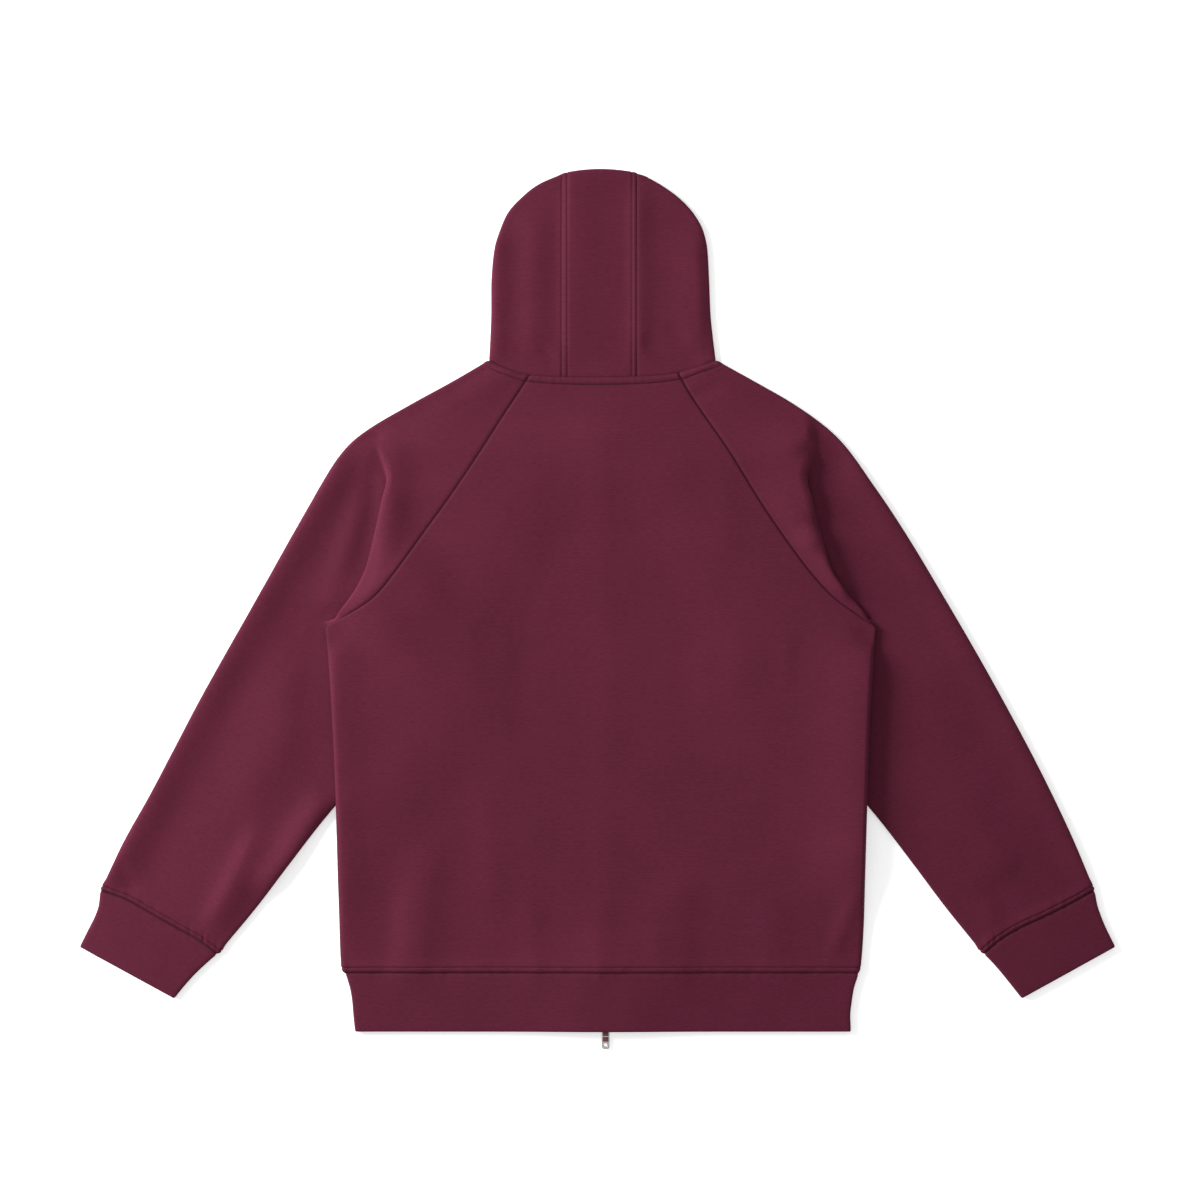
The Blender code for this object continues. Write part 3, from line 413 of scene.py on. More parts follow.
class Lay:
    """Heights of the pressed layers: fronts, zip and back, and the sleeves under them."""

    HOLD, RAMP, FADE = 28.0, 85.0, (4.0, 75.0)
    EDGE_STEPS = 30
    ZIP_SPREAD, TEETH_SPREAD = 58.0, 18.0
    TEETH_LIFT, HEM_LIFT, SLIDER_LIFT, BAND_LIFT = 0.6, 0.65, 1.5, 2.9
    TEETH_FADE, HEM_FADE = 40.0, 30.0
    FULL, LOWER_FADE, UPPER_FADE = 4.0, 70.0, 50.0

    def __init__(self) -> None:
        """Work out the sleeves' hidden inner edges."""
        self.inner_edge = {side: self._inner_edge(side) for side in Side}

    def inner_point(self, side: Side, section: Section) -> Vector:
        """Where an open section of a sleeve reaches its hidden inner fold."""
        outer = spot(SLEEVE_OUTER, side, section.outer_y)
        front = spot(RAGLAN_FRONT, side, section.front_y)
        return front + (front - outer).normalized() * section.under

    def _inner_edge(self, side: Side) -> list[Vector]:
        """A sleeve's inner edge from the cuff to the end of its hidden fold."""
        ys = spread(SLEEVE_INNER[0].y, UNDERARM_INNER_Y, self.EDGE_STEPS)
        points = [spot(SLEEVE_INNER, side, y) for y in ys]
        return points + [self.inner_point(side, s) for s in SECTIONS if s.under is not None]

    def over_sleeve(self, x: float, y: float) -> float:
        """How far the body is lifted by the sleeve under it, from 0 to 1."""
        edge = self.inner_edge[side_at(x)]
        fade = 1.0 - smooth(edge[-1].y + self.FADE[0], edge[-1].y + self.FADE[1], y)
        if fade == 0.0:
            return 0.0
        reach = np.interp(y, [p.y for p in edge], [abs(p.x - S.centre) for p in edge])
        if abs(x - S.centre) > reach and y > edge[0].y:
            return fade
        away, here = math.inf, Vector((x, y))
        for start, end in zip(edge, edge[1:]):
            along = end - start
            share = share_of(0.0, along.length_squared, (here - start).dot(along))
            away = min(away, (start + along * share - here).length)
        return fade * (1.0 - smooth(self.HOLD, self.HOLD + self.RAMP, away))

    def near_zip(self, x: float) -> float:
        """From 1 along the zip to 0 away from it."""
        return math.exp(-(max(abs(x - S.zip_x) - S.tape_wide, 0.0) / self.ZIP_SPREAD) ** 2)

    def near_slider(self, y: float) -> float:
        """From 1 along the two sliders and their pulls to 0 away from them."""
        lower = 1.0 - smooth(S.hem_seam + self.FULL, S.hem_seam + self.LOWER_FADE, y)
        pull_end = S.upper_slider_y - S.pull_long
        rise = smooth(pull_end - self.UPPER_FADE, pull_end - self.FULL, y)
        return lower + rise * (1.0 - smooth(S.zip_top + self.FULL, S.zip_top + self.UPPER_FADE, y))

    def lower_z(self, x: float, y: float) -> float:
        """Middle height of the lower layer: the fronts and the hood's underside."""
        zip_rise = S.zip_lift * self.near_zip(x) * self.near_slider(y)
        return S.floor + S.lift * self.over_sleeve(x, y) + zip_rise

    def upper_z(self, x: float, y: float) -> float:
        """Middle height of the upper layer: the back and the hood's upper side."""
        below_neck = 1.0 - smooth(S.zip_top, S.zip_top + self.TEETH_FADE, y)
        on_teeth = math.exp(-((x - S.zip_x) / self.TEETH_SPREAD) ** 2) * below_neck
        at_hem = 1.0 - smooth(S.hem_seam, S.hem_seam + self.HEM_FADE, y)
        gap = S.body_gap + self.TEETH_LIFT * on_teeth + self.HEM_LIFT * at_hem
        at_slider = self.SLIDER_LIFT * self.near_zip(x) * self.near_slider(y)
        return self.lower_z(x, y) + gap + at_slider

    def zip_z(self, y: float) -> float:
        """Middle height of the zip's tape."""
        return self.lower_z(S.zip_x, y) + S.cloth / 2 + S.tape_clear + S.tape / 2

    def band_z(self, x: float, upper: float) -> float:
        """Middle height of a layer of the hem band."""
        near = self.near_zip(x)
        return S.rib / 2 + S.band_lift * near + (S.body_gap + self.BAND_LIFT * near) * upper

    def share(self, x: float, y: float, z: float) -> float:
        """How far up between the body's two layers a point lies, from 0 to 1."""
        return share_of(self.lower_z(x, y), self.upper_z(x, y), z)


# --- Creases ---


class Crease(NamedTuple):
    """A soft ridge, or a trough where its height is below 0, along a gently bent line.

    Seen along its way, a lean above 0 makes its left slope longer and one below 0 its right one.
    """

    x0: float
    y0: float
    x1: float
    y1: float
    wide: float
    height: float
    bend: float = 0.0
    lean: float = 0.0
    fade: float = 0.3

    def rise(self, x: Array, y: Array) -> Array:
        """Its height at each place: round across, fading out toward both ends."""
        dx, dy = self.x1 - self.x0, self.y1 - self.y0
        length = math.hypot(dx, dy)
        along = ((x - self.x0) * dx + (y - self.y0) * dy) / length ** 2
        across = ((x - self.x0) * -dy + (y - self.y0) * dx) / length
        across = across - self.bend * 4.0 * along * (1.0 - along)
        wide = self.wide * np.where(across * self.lean > 0, 1.0 + abs(self.lean), 1.0)
        beyond = self.fade * 0.4
        start = smooth_all(-beyond, self.fade, along)
        ends = start * (1.0 - smooth_all(1.0 - self.fade, 1.0 + beyond, along))
        return self.height * np.exp(-(across / wide) ** 2) * ends


def creases(*rows: tuple[float, ...]) -> tuple[Crease, ...]:
    """A group of creases."""
    return tuple(Crease(*row) for row in rows)


@dataclass(frozen=True)
class Relief:
    """The creases of one layer, with the fine unevenness between them."""

    creases: tuple[Crease, ...]
    uneven: float = 0.25
    floor: float = -0.8
    still: tuple[tuple[float, float, float], ...] = ()

    def height(self, x: Array, y: Array, own: Number = 0.0) -> Array:
        """How far the cloth stands above its plain lie.

        Args:
            x: Places along X.
            y: Places along Y.
            own: Height of the piece's own creases there.

        Returns:
            Heights in millimetres.
        """
        total = self.uneven * self._ripple(x, y) + own
        for crease in self.creases:
            total = total + crease.rise(x, y)
        total = self.floor + np.logaddexp(0.0, (total - self.floor) * 3.0) / 3.0
        for cx, cy, radius in self.still:
            total = total * smooth_all(radius * 0.35, radius, np.hypot(x - cx, y - cy))
        return total

    @staticmethod
    def _ripple(x: Array, y: Array) -> Array:
        """An even mix of crossing waves, between about -1 and 1."""
        waves = ((0.041, 0.013, 0.4), (-0.023, 0.057, 1.9), (0.071, -0.038, 3.1),
                 (0.012, 0.094, 5.2), (0.103, 0.052, 0.9), (-0.087, 0.081, 2.6))
        total = np.zeros_like(x)
        for kx, ky, phase in waves:
            bend = 0.9 * np.sin(ky * 0.7 * x - kx * 0.6 * y + phase * 2.1)
            total += np.sin(kx * x + ky * y + phase + bend) / 3.0
        return total


# Over the back, the band, the hood and the sleeves' upper layers.
UPPER_CREASES = creases(
    # Pushed up from the hem.
    (-204.6, -420, -184.8, -245, 22, 3, 0, 0.5),
    (-236, -410, -226, -300, 15, -1.8),
    (-68.2, -422, -72.6, -315, 16, 1.2),
    (2.2, -420, -2.2, -324.6, 15, 0.9),
    (85.8, -424, 92.4, -287, 22, 1.9, 3, 0.3),
    (194.7, -420, 189.2, -310, 22, 1.2),
    (-116.6, -340.6, -121, -205, 17, 0.9),
    (61.6, -350, 68.2, -386, 9, 0.8),
    (283.7, -310, 256, -384, 8, 1.8),
    # Across the back.
    (-107.8, -215, -104, -30, 40, 1, 6),
    (-12, 240, -15, 10, 24, 0.4, 4),
    (143, 48, 128.7, 200, 16, 0.5, -4),
    (-74.8, 170, -72.6, -34, 18, 0.4, 3),
    (210, -28, 205, -88, 6, 0.6),
    # Shoulders and underarms.
    (-196, 76, -284, -10, 17, 6.8, 7, 4.5, 0.32),
    (100, 231, 138, 247, 7, -1.1),
    (-186, 240, -150, 226, 7, 0.7),
    # Hood.
    (-110.5, 418, -112, 272, 7, 2.6, 0, 1.2, 0.15),
    (-69.3, 440, -71.5, 280, 18, 2, 0, 0, 0.2),
    (-27, 496, -30, 275, 9, 3, -2, 3.2, 0.15),
    (43.8, 474, 45, 275, 9, 2.2, 0, 0.5, 0.2),
    (108, 428, 114, 280, 6.5, 2.4, 0, -2.6),
    (52, 296, 112, 272, 9, -3, -3),
    (76, 312, 98, 292, 7, -1.2),
    (-64, 292, -44, 262, 6, -0.9),
)
# Over the fronts and the sleeves' lower layers, seen from below.
LOWER_CREASES = creases(
    (-120, 60, -60, -260, 12, 0.9, 12),
    (110, 40, 150, -220, 12, 0.8, -10),
    (-205, -230, -160, -385, 10, 0.8, 6),
    (70, -290, 118, -388, 9, 0.7),
    (205, -110, 190, -300, 13, 0.7, 5),
    (-370, -60, -455, -230, 10, 0.8, 5),
    (400, -90, 462, -250, 10, 0.8, -4),
    (-75, 420, -62, 320, 9, 0.6),
    (80, 410, 66, 300, 9, 0.6),
)
# The back's own: its rolled side edges.
BACK_FOLDS = creases(
    (-291, -24, -283, -240, 4, 2.3, 0, 5.5, 0.15),
    (-283, -205, -277, -392, 4, 1.7, 0, 4.5, 0.25),
    (299, -20, 290.5, -320, 5, 9.2, 0, -9, 0.2),
    (291, -210, 286, -410, 5, 2.4, 0, -5, 0.4),
)
# Each sleeve's own: the pressed outer edge, the flap beside its crest, the folds above the cuff.
SLEEVE_FOLDS = {
    Side.LEFT: creases(
        (-272.5, 182, -542, -307.5, 7, 5.4, -6, 2.4, 0.08),
        (-250, 160, -314, -40, 14, 2.4, 6),
        (-231, 196, -242, 36, 10.5, 5.2, 6, 1, 0.25),
        (-284, 194, -236, 158, 14, 4.2, 5),
        (-292, -203, -372, -314, 13, 6.4, 2, -0.4, 0.2),
        (-372, -240, -430, -356, 14, 4.8, 2, 0.6),
        (-530, -270, -508, -318, 10, -1.6),
        (-330, -60, -400, -240, 30, 1.6, 6),
    ),
    Side.RIGHT: creases(
        (271, 176, 545, -312, 8, 2.4, 11, -1.2, 0.08),
        (229.5, 214, 236, 66, 6, 7.5, 0, -6, 0.3),
        (236, 92, 274, 4, 6, 8.4, 2, -4.4, 0.22),
        (345, -205, 455, -245, 26, -1),
        (427, -322, 438, -374, 13, 1),
        (380, -180, 470, -330, 20, 1.2, 5),
        (478, -282, 430, -318, 14, -1.8, 0, 1),
    ),
}
UNDERARM_STILL = ((-299.2, -20.9, 34.0), (305.8, -20.9, 34.0))
UPPER = Relief(UPPER_CREASES, uneven=0.14, still=UNDERARM_STILL)
LOWER = Relief(LOWER_CREASES, uneven=0.10, floor=-0.02, still=UNDERARM_STILL)


# --- Building a piece ---


def put(name: str, data: bpy.types.ID) -> Object:
    """Put a mesh, a lamp or a camera in the scene."""
    made = bpy.data.objects.new(name, data)
    bpy.context.scene.collection.objects.link(made)
    return made


def stamp(bm: BMesh, mesh: bpy.types.Mesh, place: Matrix) -> None:
    """Add a copy of a small mesh at a place, and put the small one back."""
    mesh.transform(place)
    bm.from_mesh(mesh)
    mesh.transform(place.inverted())


def to_mesh(name: str, bm: BMesh) -> bpy.types.Mesh:
    """Turn a bmesh into a mesh and free it."""
    mesh = bpy.data.meshes.new(name)
    bm.to_mesh(mesh)
    bm.free()
    return mesh


def add_part(bm: BMesh, part: BMesh) -> None:
    """Move what a second bmesh holds into the first one."""
    mesh = to_mesh("part", part)
    bm.from_mesh(mesh)
    bpy.data.meshes.remove(mesh)


def block(bm: BMesh, low: Sequence[float], high: Sequence[float], round_off: float,
          segments: int = 2) -> None:
    """Add a block with rounded edges to a bmesh.

    Args:
        bm: Where it is added, in metres.
        low: Its lowest corner in millimetres.
        high: Its highest corner.
        round_off: Radius of its edges.
        segments: Faces round an edge.
    """
    part = bmesh.new()
    bmesh.ops.create_cube(part, size=1.0)
    bmesh.ops.scale(part, vec=(Vector(high) - Vector(low)) * MM, verts=part.verts)
    bmesh.ops.translate(part, vec=(Vector(high) + Vector(low)) / 2 * MM, verts=part.verts)
    bmesh.ops.bevel(part, geom=part.edges[:], offset=round_off * MM, segments=segments, profile=0.5,
                    affect="EDGES", material=-1)
    add_part(bm, part)


def finished(name: str, bm: BMesh, finish: Finish, body: str) -> Object:
    """Turn a bmesh in metres into a dressed piece that rides on a body."""
    mesh = to_mesh(name, bm)
    mesh.shade_smooth()
    mesh.materials.append(finish.material())
    piece = put(name, mesh)
    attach(piece, body)
    log.info("%s: %d faces", name, len(mesh.polygons))
    return piece


# --- Cloth as a fine sheet ---


@dataclass(frozen=True)
class Edging:
    """How the cloth lies beside one edge of a piece: sunk seam, pressed allowance, topstitch.

    Distances and heights are millimetres; a stitch of 0 means no topstitching.
    """

    NEAR = (0.5, 1.1, 1.9, 2.9, 4.2)
    ROUND_STITCH = (-1.4, -0.7, 0.0, 0.7, 1.4, 2.6)
    BULGE_AT, BULGE_WIDE = 6.0, 5.0
    PUCKER_START, PUCKER_WIDE = 1.5, 9.0
    STITCH_CLEAR, STITCH_WIDE = 1.5, 0.8

    dip: float = 0.5
    dip_wide: float = 1.8
    ridge: float = 0.0
    stitch: float = 0.0
    groove: float = 0.35
    groove_wide: float = 0.9
    pucker: float = 0.0
    bulge: float = 0.0
    reach: float = 0.5
    # The dark fields: painted shade along the seam and along the stitch line, its strength and
    # width.
    dark: float = 0.7
    dark_wide: float = 1.3
    stitch_dark: float = 0.45

    def stations(self) -> list[float]:
        """Distances from the edge where the cloth needs a line of points."""
        if not self.stitch:
            return list(self.NEAR)
        near = [away for away in self.NEAR if away < self.stitch - self.STITCH_CLEAR]
        return near + [self.stitch + step for step in self.ROUND_STITCH]

    def shade(self, distance: Array) -> Array:
        """How much painted shade each place takes in a seam or a stitch line, from 0 to 1."""
        total = self.dark * np.exp(-(distance / self.dark_wide) ** 2)
        if self.stitch:
            line = np.exp(-((distance - self.stitch) / self.STITCH_WIDE) ** 2)
            total = total + self.stitch_dark * line
        return np.minimum(total, 1.0)

    def height(self, distance: Array, along: Array) -> Array:
        """How far the cloth stands out at a distance from the edge and a place along it."""
        total = -self.dip * np.exp(-(distance / self.dip_wide) ** 2)
        total += self.bulge * np.exp(-((distance - self.BULGE_AT) / self.BULGE_WIDE) ** 2)
        if self.stitch:
            inside = np.clip(distance / self.stitch, 0.0, 1.0)
            total += self.ridge * np.sin(np.pi * inside) ** 2
            total -= self.groove * np.exp(-((distance - self.stitch) / self.groove_wide) ** 2)
        if self.pucker:
            waves = (np.sin(along * 0.83 + 0.6 * np.sin(along * 0.19)) * 0.5
                     + np.sin(along * 0.47 + 1.3) * 0.35 + np.sin(along * 1.31 + 0.4) * 0.25)
            start = 1.0 - np.exp(-(distance / self.PUCKER_START) ** 2)
            fade = np.exp(-(distance / self.PUCKER_WIDE) ** 2) * start
            total += self.pucker * waves * fade
        return total


# Each edging's dark values set the painted shade in its seam and its stitch line.
NECK_EDGE = Edging(dip=0.6, dip_wide=1.2, ridge=0.6, stitch=8.0, groove=0.5,
                   groove_wide=1.1, pucker=0.15, reach=0.9, dark=0.45, stitch_dark=0.6)
CUFF_EDGE = Edging(dip=1.1, dip_wide=1.5, ridge=0.5, stitch=4.8, groove=0.7,
                   groove_wide=1.0, pucker=0.60, bulge=1.1, reach=0.7, dark=0.85)
HEM_EDGE = Edging(dip=1.2, dip_wide=1.5, ridge=0.7, stitch=6.0, groove=0.6,
                  groove_wide=1.0, pucker=0.60, bulge=1.0, reach=0.7, dark=0.85)
CROWN_EDGE = Edging(dip=0.6, dip_wide=1.1, ridge=0.12, stitch=5.6, groove=0.4,
                    pucker=0.16, dark=0.5)
OPENING_EDGE = Edging(dip=0.1, stitch=22.0, groove=0.25, reach=0.0, dark=0.0)
FREE_EDGE = Edging(dip=0.5, dip_wide=1.4, reach=0.0, dark=0.0)


class Border(Enum):
    """The four edges of a sheet: its first and last row, its first and last column."""

    START = "start"
    END = "end"
    FIRST = "first"
    LAST = "last"


ROW_BORDERS = (Border.START, Border.END)


def run_of(steps: Array) -> Array:
    """How far along a line each of its points is, from the lengths of its steps."""
    return np.concatenate([[0.0], np.cumsum(steps)])


def monotone(t: Array, values: Array, at: Array) -> Array:
    """Interpolate rows of values smoothly, without overshoot.

    Args:
        t: Places of the given rows, rising.
        values: The rows, one for each place.
        at: Places to work out.

    Returns:
        One row for each of those places.
    """
    step = np.diff(t)[:, None]
    rise = np.diff(values, axis=0) / step
    slopes = np.zeros_like(values)
    slopes[0], slopes[-1] = rise[0], rise[-1]
    if len(t) > 2:
        w1, w2 = 2 * step[1:] + step[:-1], step[1:] + 2 * step[:-1]
        same = rise[:-1] * rise[1:] > 0
        safe_a, safe_b = np.where(same, rise[:-1], 1.0), np.where(same, rise[1:], 1.0)
        slopes[1:-1] = np.where(same, (w1 + w2) / (w1 / safe_a + w2 / safe_b), 0.0)
    index = np.clip(np.searchsorted(t, at, side="right") - 1, 0, len(t) - 2)
    span = step[index]
    u = ((at - t[index])[:, None]) / span
    near, far = index, index + 1
    return hermite(u, (values[near], values[far]), (slopes[near], slopes[far]), span)


@dataclass
class ClothSheet:
    """One sewn piece as a fine grid through the middle of its cloth.

    The rows hold x, y, z and how much of the upper layer's creases a point takes.
    """

    END_FADE = (1.0, 12.0)
    PULL_WIDE = 4.0
    RING_FADE = 6
    SHORTEST = 2.5
    WALL_SHARE = 0.94

    name: str
    rows: Array
    wall: float = S.cloth
    flip: bool = False
    cell: float = 5.0
    edging: dict[Border, Edging] = field(default_factory=dict)
    closed_rows: int = 0
    folds: tuple[Crease, ...] = ()
    grain: float = 0.0
    side_fade: Two = (0.2, 3.2)
    points: Array = field(init=False)
    normals: Array = field(init=False)
    away: dict[Border, Array] = field(init=False)
    shade: Array = field(init=False)
    ring_end: int = field(init=False, default=0)

    def refine(self) -> None:
        """Fill in the grid to the cell size, then lay on the creases and the seams."""
        v_at, v_t = self._stations(0, Border.START, Border.END)
        u_at, u_t = self._stations(1, Border.FIRST, Border.LAST)
        count, columns = self.rows.shape[:2]
        tall = monotone(v_t, self.rows.reshape(count, -1), v_at).reshape(len(v_at), columns, 4)
        wide = monotone(u_t, tall.transpose(1, 0, 2).reshape(columns, -1), u_at)
        grid = wide.reshape(len(u_at), len(v_at), 4).transpose(1, 0, 2).copy()
        if self.closed_rows:
            self.ring_end = int(np.searchsorted(v_at, v_t[self.closed_rows - 1] + 1e-6))
        grid[:self.ring_end, -1] = grid[:self.ring_end, 0]
        share = grid[..., 3].copy()
        self.points = grid[..., :3]
        self._measure()
        x, y = self.points[..., 0], self.points[..., 1]
        own = np.zeros_like(x)
        for crease in self.folds:
            own += crease.rise(x, y)
        for border in self.edging:
            fade = self.END_FADE if border in ROW_BORDERS else self.side_fade
            own *= 1.0 - self._reach(border) * (1.0 - smooth_all(*fade, self.away[border]))
        lift = (1.0 - share) * LOWER.height(x, y) + share * UPPER.height(x, y, own)
        relief = np.zeros_like(lift)
        beyond = np.zeros_like(self.points)
        # Painted shade along the seams and stitch lines, from 0 to 1.
        self.shade = np.zeros_like(lift)
        for border, edging in self.edging.items():
            strength = self._reach(border)
            away = self.away[border]
            along = self.points[..., 0 if border in ROW_BORDERS else 1]
            relief += edging.height(away, along) * strength
            self.shade = np.maximum(self.shade, edging.shade(away) * strength)
            pull = edging.reach * (1.0 - smooth_all(0.0, self.PULL_WIDE, away)) * strength
            beyond += self._outward(border) * pull[..., None]
        self.points = self.points + self.normals * relief[..., None] + beyond
        self.points[..., 2] += lift
        self._measure()

    def _reach(self, border: Border) -> Array:
        """How far each row has that border: 0 for the closed rings' sides, 1 elsewhere."""
        if border in ROW_BORDERS or not self.ring_end:
            return np.ones((len(self.points), 1))
        rows = np.arange(len(self.points))[:, None]
        return smooth_all(self.ring_end, self.ring_end + self.RING_FADE, rows)

    def _stations(self, axis: int, first: Border, last: Border) -> tuple[Array, Array]:
        """Work out where the fine lines lie along one direction of the grid.

        Args:
            axis: 0 along the rows' order, 1 along the columns'.
            first: The border that the direction starts at.
            last: The border that it ends at.

        Returns:
            The places of the fine lines and of the given ones.
        """
        steps = np.diff(self.rows[..., :3], axis=axis)
        lengths = np.linalg.norm(steps, axis=-1).mean(axis=1 - axis)
        knots = run_of(lengths)
        at: list[float] = []
        for start, length in zip(knots, lengths):
            cells = max(2, math.ceil(length / self.cell))
            at += [start + length * step / cells for step in range(cells)]
        at.append(knots[-1])
        end = knots[-1]
        for border, place in ((first, lambda d: d), (last, lambda d: end - d)):
            if border not in self.edging:
                continue
            near = self.edging[border].stations()
            low, high = sorted((place(0.0), place(near[-1] + 1.2)))
            at = [a for a in at if not low + 1e-6 < a < high - 1e-6]
            at += [place(d) for d in near]
        return np.array(sorted(at)), knots

    def _outward(self, border: Border) -> Array:
        """Unit steps in the cloth's surface toward one border."""
        axis = 0 if border in ROW_BORDERS else 1
        sign = -1.0 if border in (Border.START, Border.FIRST) else 1.0
        way = np.gradient(self.points, axis=axis) * sign
        return way / np.maximum(np.linalg.norm(way, axis=-1, keepdims=True), 1e-9)

    def _measure(self) -> None:
        """Work out the normals and each point's distance from the four borders."""
        p = self.points
        du, dv = np.gradient(p, axis=1), np.gradient(p, axis=0)
        closing = (p[:self.ring_end, 1] - p[:self.ring_end, -2]) / 2
        du[:self.ring_end, 0] = du[:self.ring_end, -1] = closing
        normal = np.cross(du, dv)
        length = np.linalg.norm(normal, axis=-1, keepdims=True)
        self.normals = normal / np.maximum(length, 1e-9) * (-1.0 if self.flip else 1.0)
        along_u = np.linalg.norm(np.diff(p, axis=1), axis=-1)
        along_v = np.linalg.norm(np.diff(p, axis=0), axis=-1)
        u = np.concatenate([np.zeros((len(p), 1)), np.cumsum(along_u, axis=1)], axis=1)
        v = np.concatenate([np.zeros((1, p.shape[1])), np.cumsum(along_v, axis=0)], axis=0)
        self.away = {Border.FIRST: u, Border.LAST: u[:, -1:] - u,
                     Border.START: v, Border.END: v[-1:] - v}

    def line(self, border: Border, distance: float) -> tuple[Array, Array]:
        """The line on the cloth's outside at a distance from one border.

        Args:
            border: The border that the line follows.
            distance: How far from it the line runs, in millimetres.

        Returns:
            The line's points on the outer surface, and the normals there.
        """
        away = self.away[border]
        p, n = self.points, self.normals
        if border in ROW_BORDERS:
            away, p, n = away.T, p.transpose(1, 0, 2), n.transpose(1, 0, 2)
        if border in (Border.END, Border.LAST):
            away, p, n = away[:, ::-1], p[:, ::-1], n[:, ::-1]
        points, normals = [], []
        for gaps, line, out in zip(away, p, n):
            if gaps[-1] < self.SHORTEST * distance:
                continue
            index = max(int(np.searchsorted(gaps, distance)), 1)
            t = (distance - gaps[index - 1]) / max(gaps[index] - gaps[index - 1], 1e-9)
            points.append(mix(line[index - 1], line[index], t))
            normals.append(mix(out[index - 1], out[index], t))
        normals = np.array(normals)
        normals /= np.linalg.norm(normals, axis=1, keepdims=True)
        return np.array(points) + normals * self.wall / 2, normals

    def stitch_lines(self) -> list[tuple[Array, Array]]:
        """Every topstitched line of the piece."""
        return [self.line(border, edging.stitch)
                for border, edging in self.edging.items() if edging.stitch]

    def make(self, finish: Finish) -> Object:
        """Build the piece's mesh as a closed wall and dress it.

        Args:
            finish: The material to give it.

        Returns:
            The finished object.
        """
        tall, wide = self.points.shape[:2]
        bm = bmesh.new()
        bmesh.ops.create_grid(bm, x_segments=wide - 1, y_segments=tall - 1, size=1.0)
        mesh = to_mesh(self.name, bm)
        mesh.vertices.foreach_set("co", (self.points * MM).ravel())
        x, y = self.points[..., 0], self.points[..., 1]
        cosine, sine = math.cos(self.grain), math.sin(self.grain)
        uv = np.stack([x * cosine + y * sine, y * cosine - x * sine], axis=-1) * MM
        corner = np.empty(len(mesh.loops), dtype=np.int64)
        mesh.loops.foreach_get("vertex_index", corner)
        layer = mesh.uv_layers.new(name="cloth")
        layer.data.foreach_set("uv", uv.reshape(-1, 2)[corner].ravel())
        # The seam attribute carries the painted shade along seams and stitch lines to the material.
        mesh.attributes.new("seam", "FLOAT", "POINT").data.foreach_set("value", self.shade.ravel())
        bm = bmesh.new()
        bm.from_mesh(mesh)
        if self.flip:
            bmesh.ops.reverse_faces(bm, faces=bm.faces)
        bmesh.ops.remove_doubles(bm, verts=bm.verts, dist=1e-6)
        bm.to_mesh(mesh)
        bm.free()
        mesh.shade_smooth()
        piece = put(self.name, mesh)
        wall = piece.modifiers.new("wall", "SOLIDIFY")
        wall.thickness = self.wall * self.WALL_SHARE * MM
        wall.offset = 0.0
        mesh.materials.append(finish.material())
        return piece


@dataclass
class SewnPiece:
    """A cloth piece with the solid it stands for and the size it is cut to, in metres."""

    sheet: ClothSheet
    node: str
    cut: Two
    cut_area: float | None = None
    rests_on: tuple[str, ...] = ()
    slot: str = "knit"

    def place(self, finish: Finish) -> ClothSheet:
        self.sheet.refine()
        piece = self.sheet.make(finish)
        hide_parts(self.node)
        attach(piece, BODY)
        list(self.rests_on)
        log.info("%s: %d points", piece.name, len(piece.data.vertices))
        return self.sheet


# --- Sleeves and cuffs ---


@dataclass(frozen=True)
class Rise:
    """How a sleeve's upper layer comes out from beside the body or from under its flap.

    clear and share_clear are where it starts and ends to fill out and to take up creases,
    share_reach is the latter's reach beside the flap, and skew moves its fullest place inward.
    """

    clear: Two
    share_clear: Two
    share_reach: float
    skew: float


SLEEVE_RISE = {
    Side.LEFT: Rise((14.0, 60.0), (3.0, 32.0), 28.0, 1.0),
    Side.RIGHT: Rise((24.0, 84.0), (6.0, 40.0), 30.0, 1.3),
}


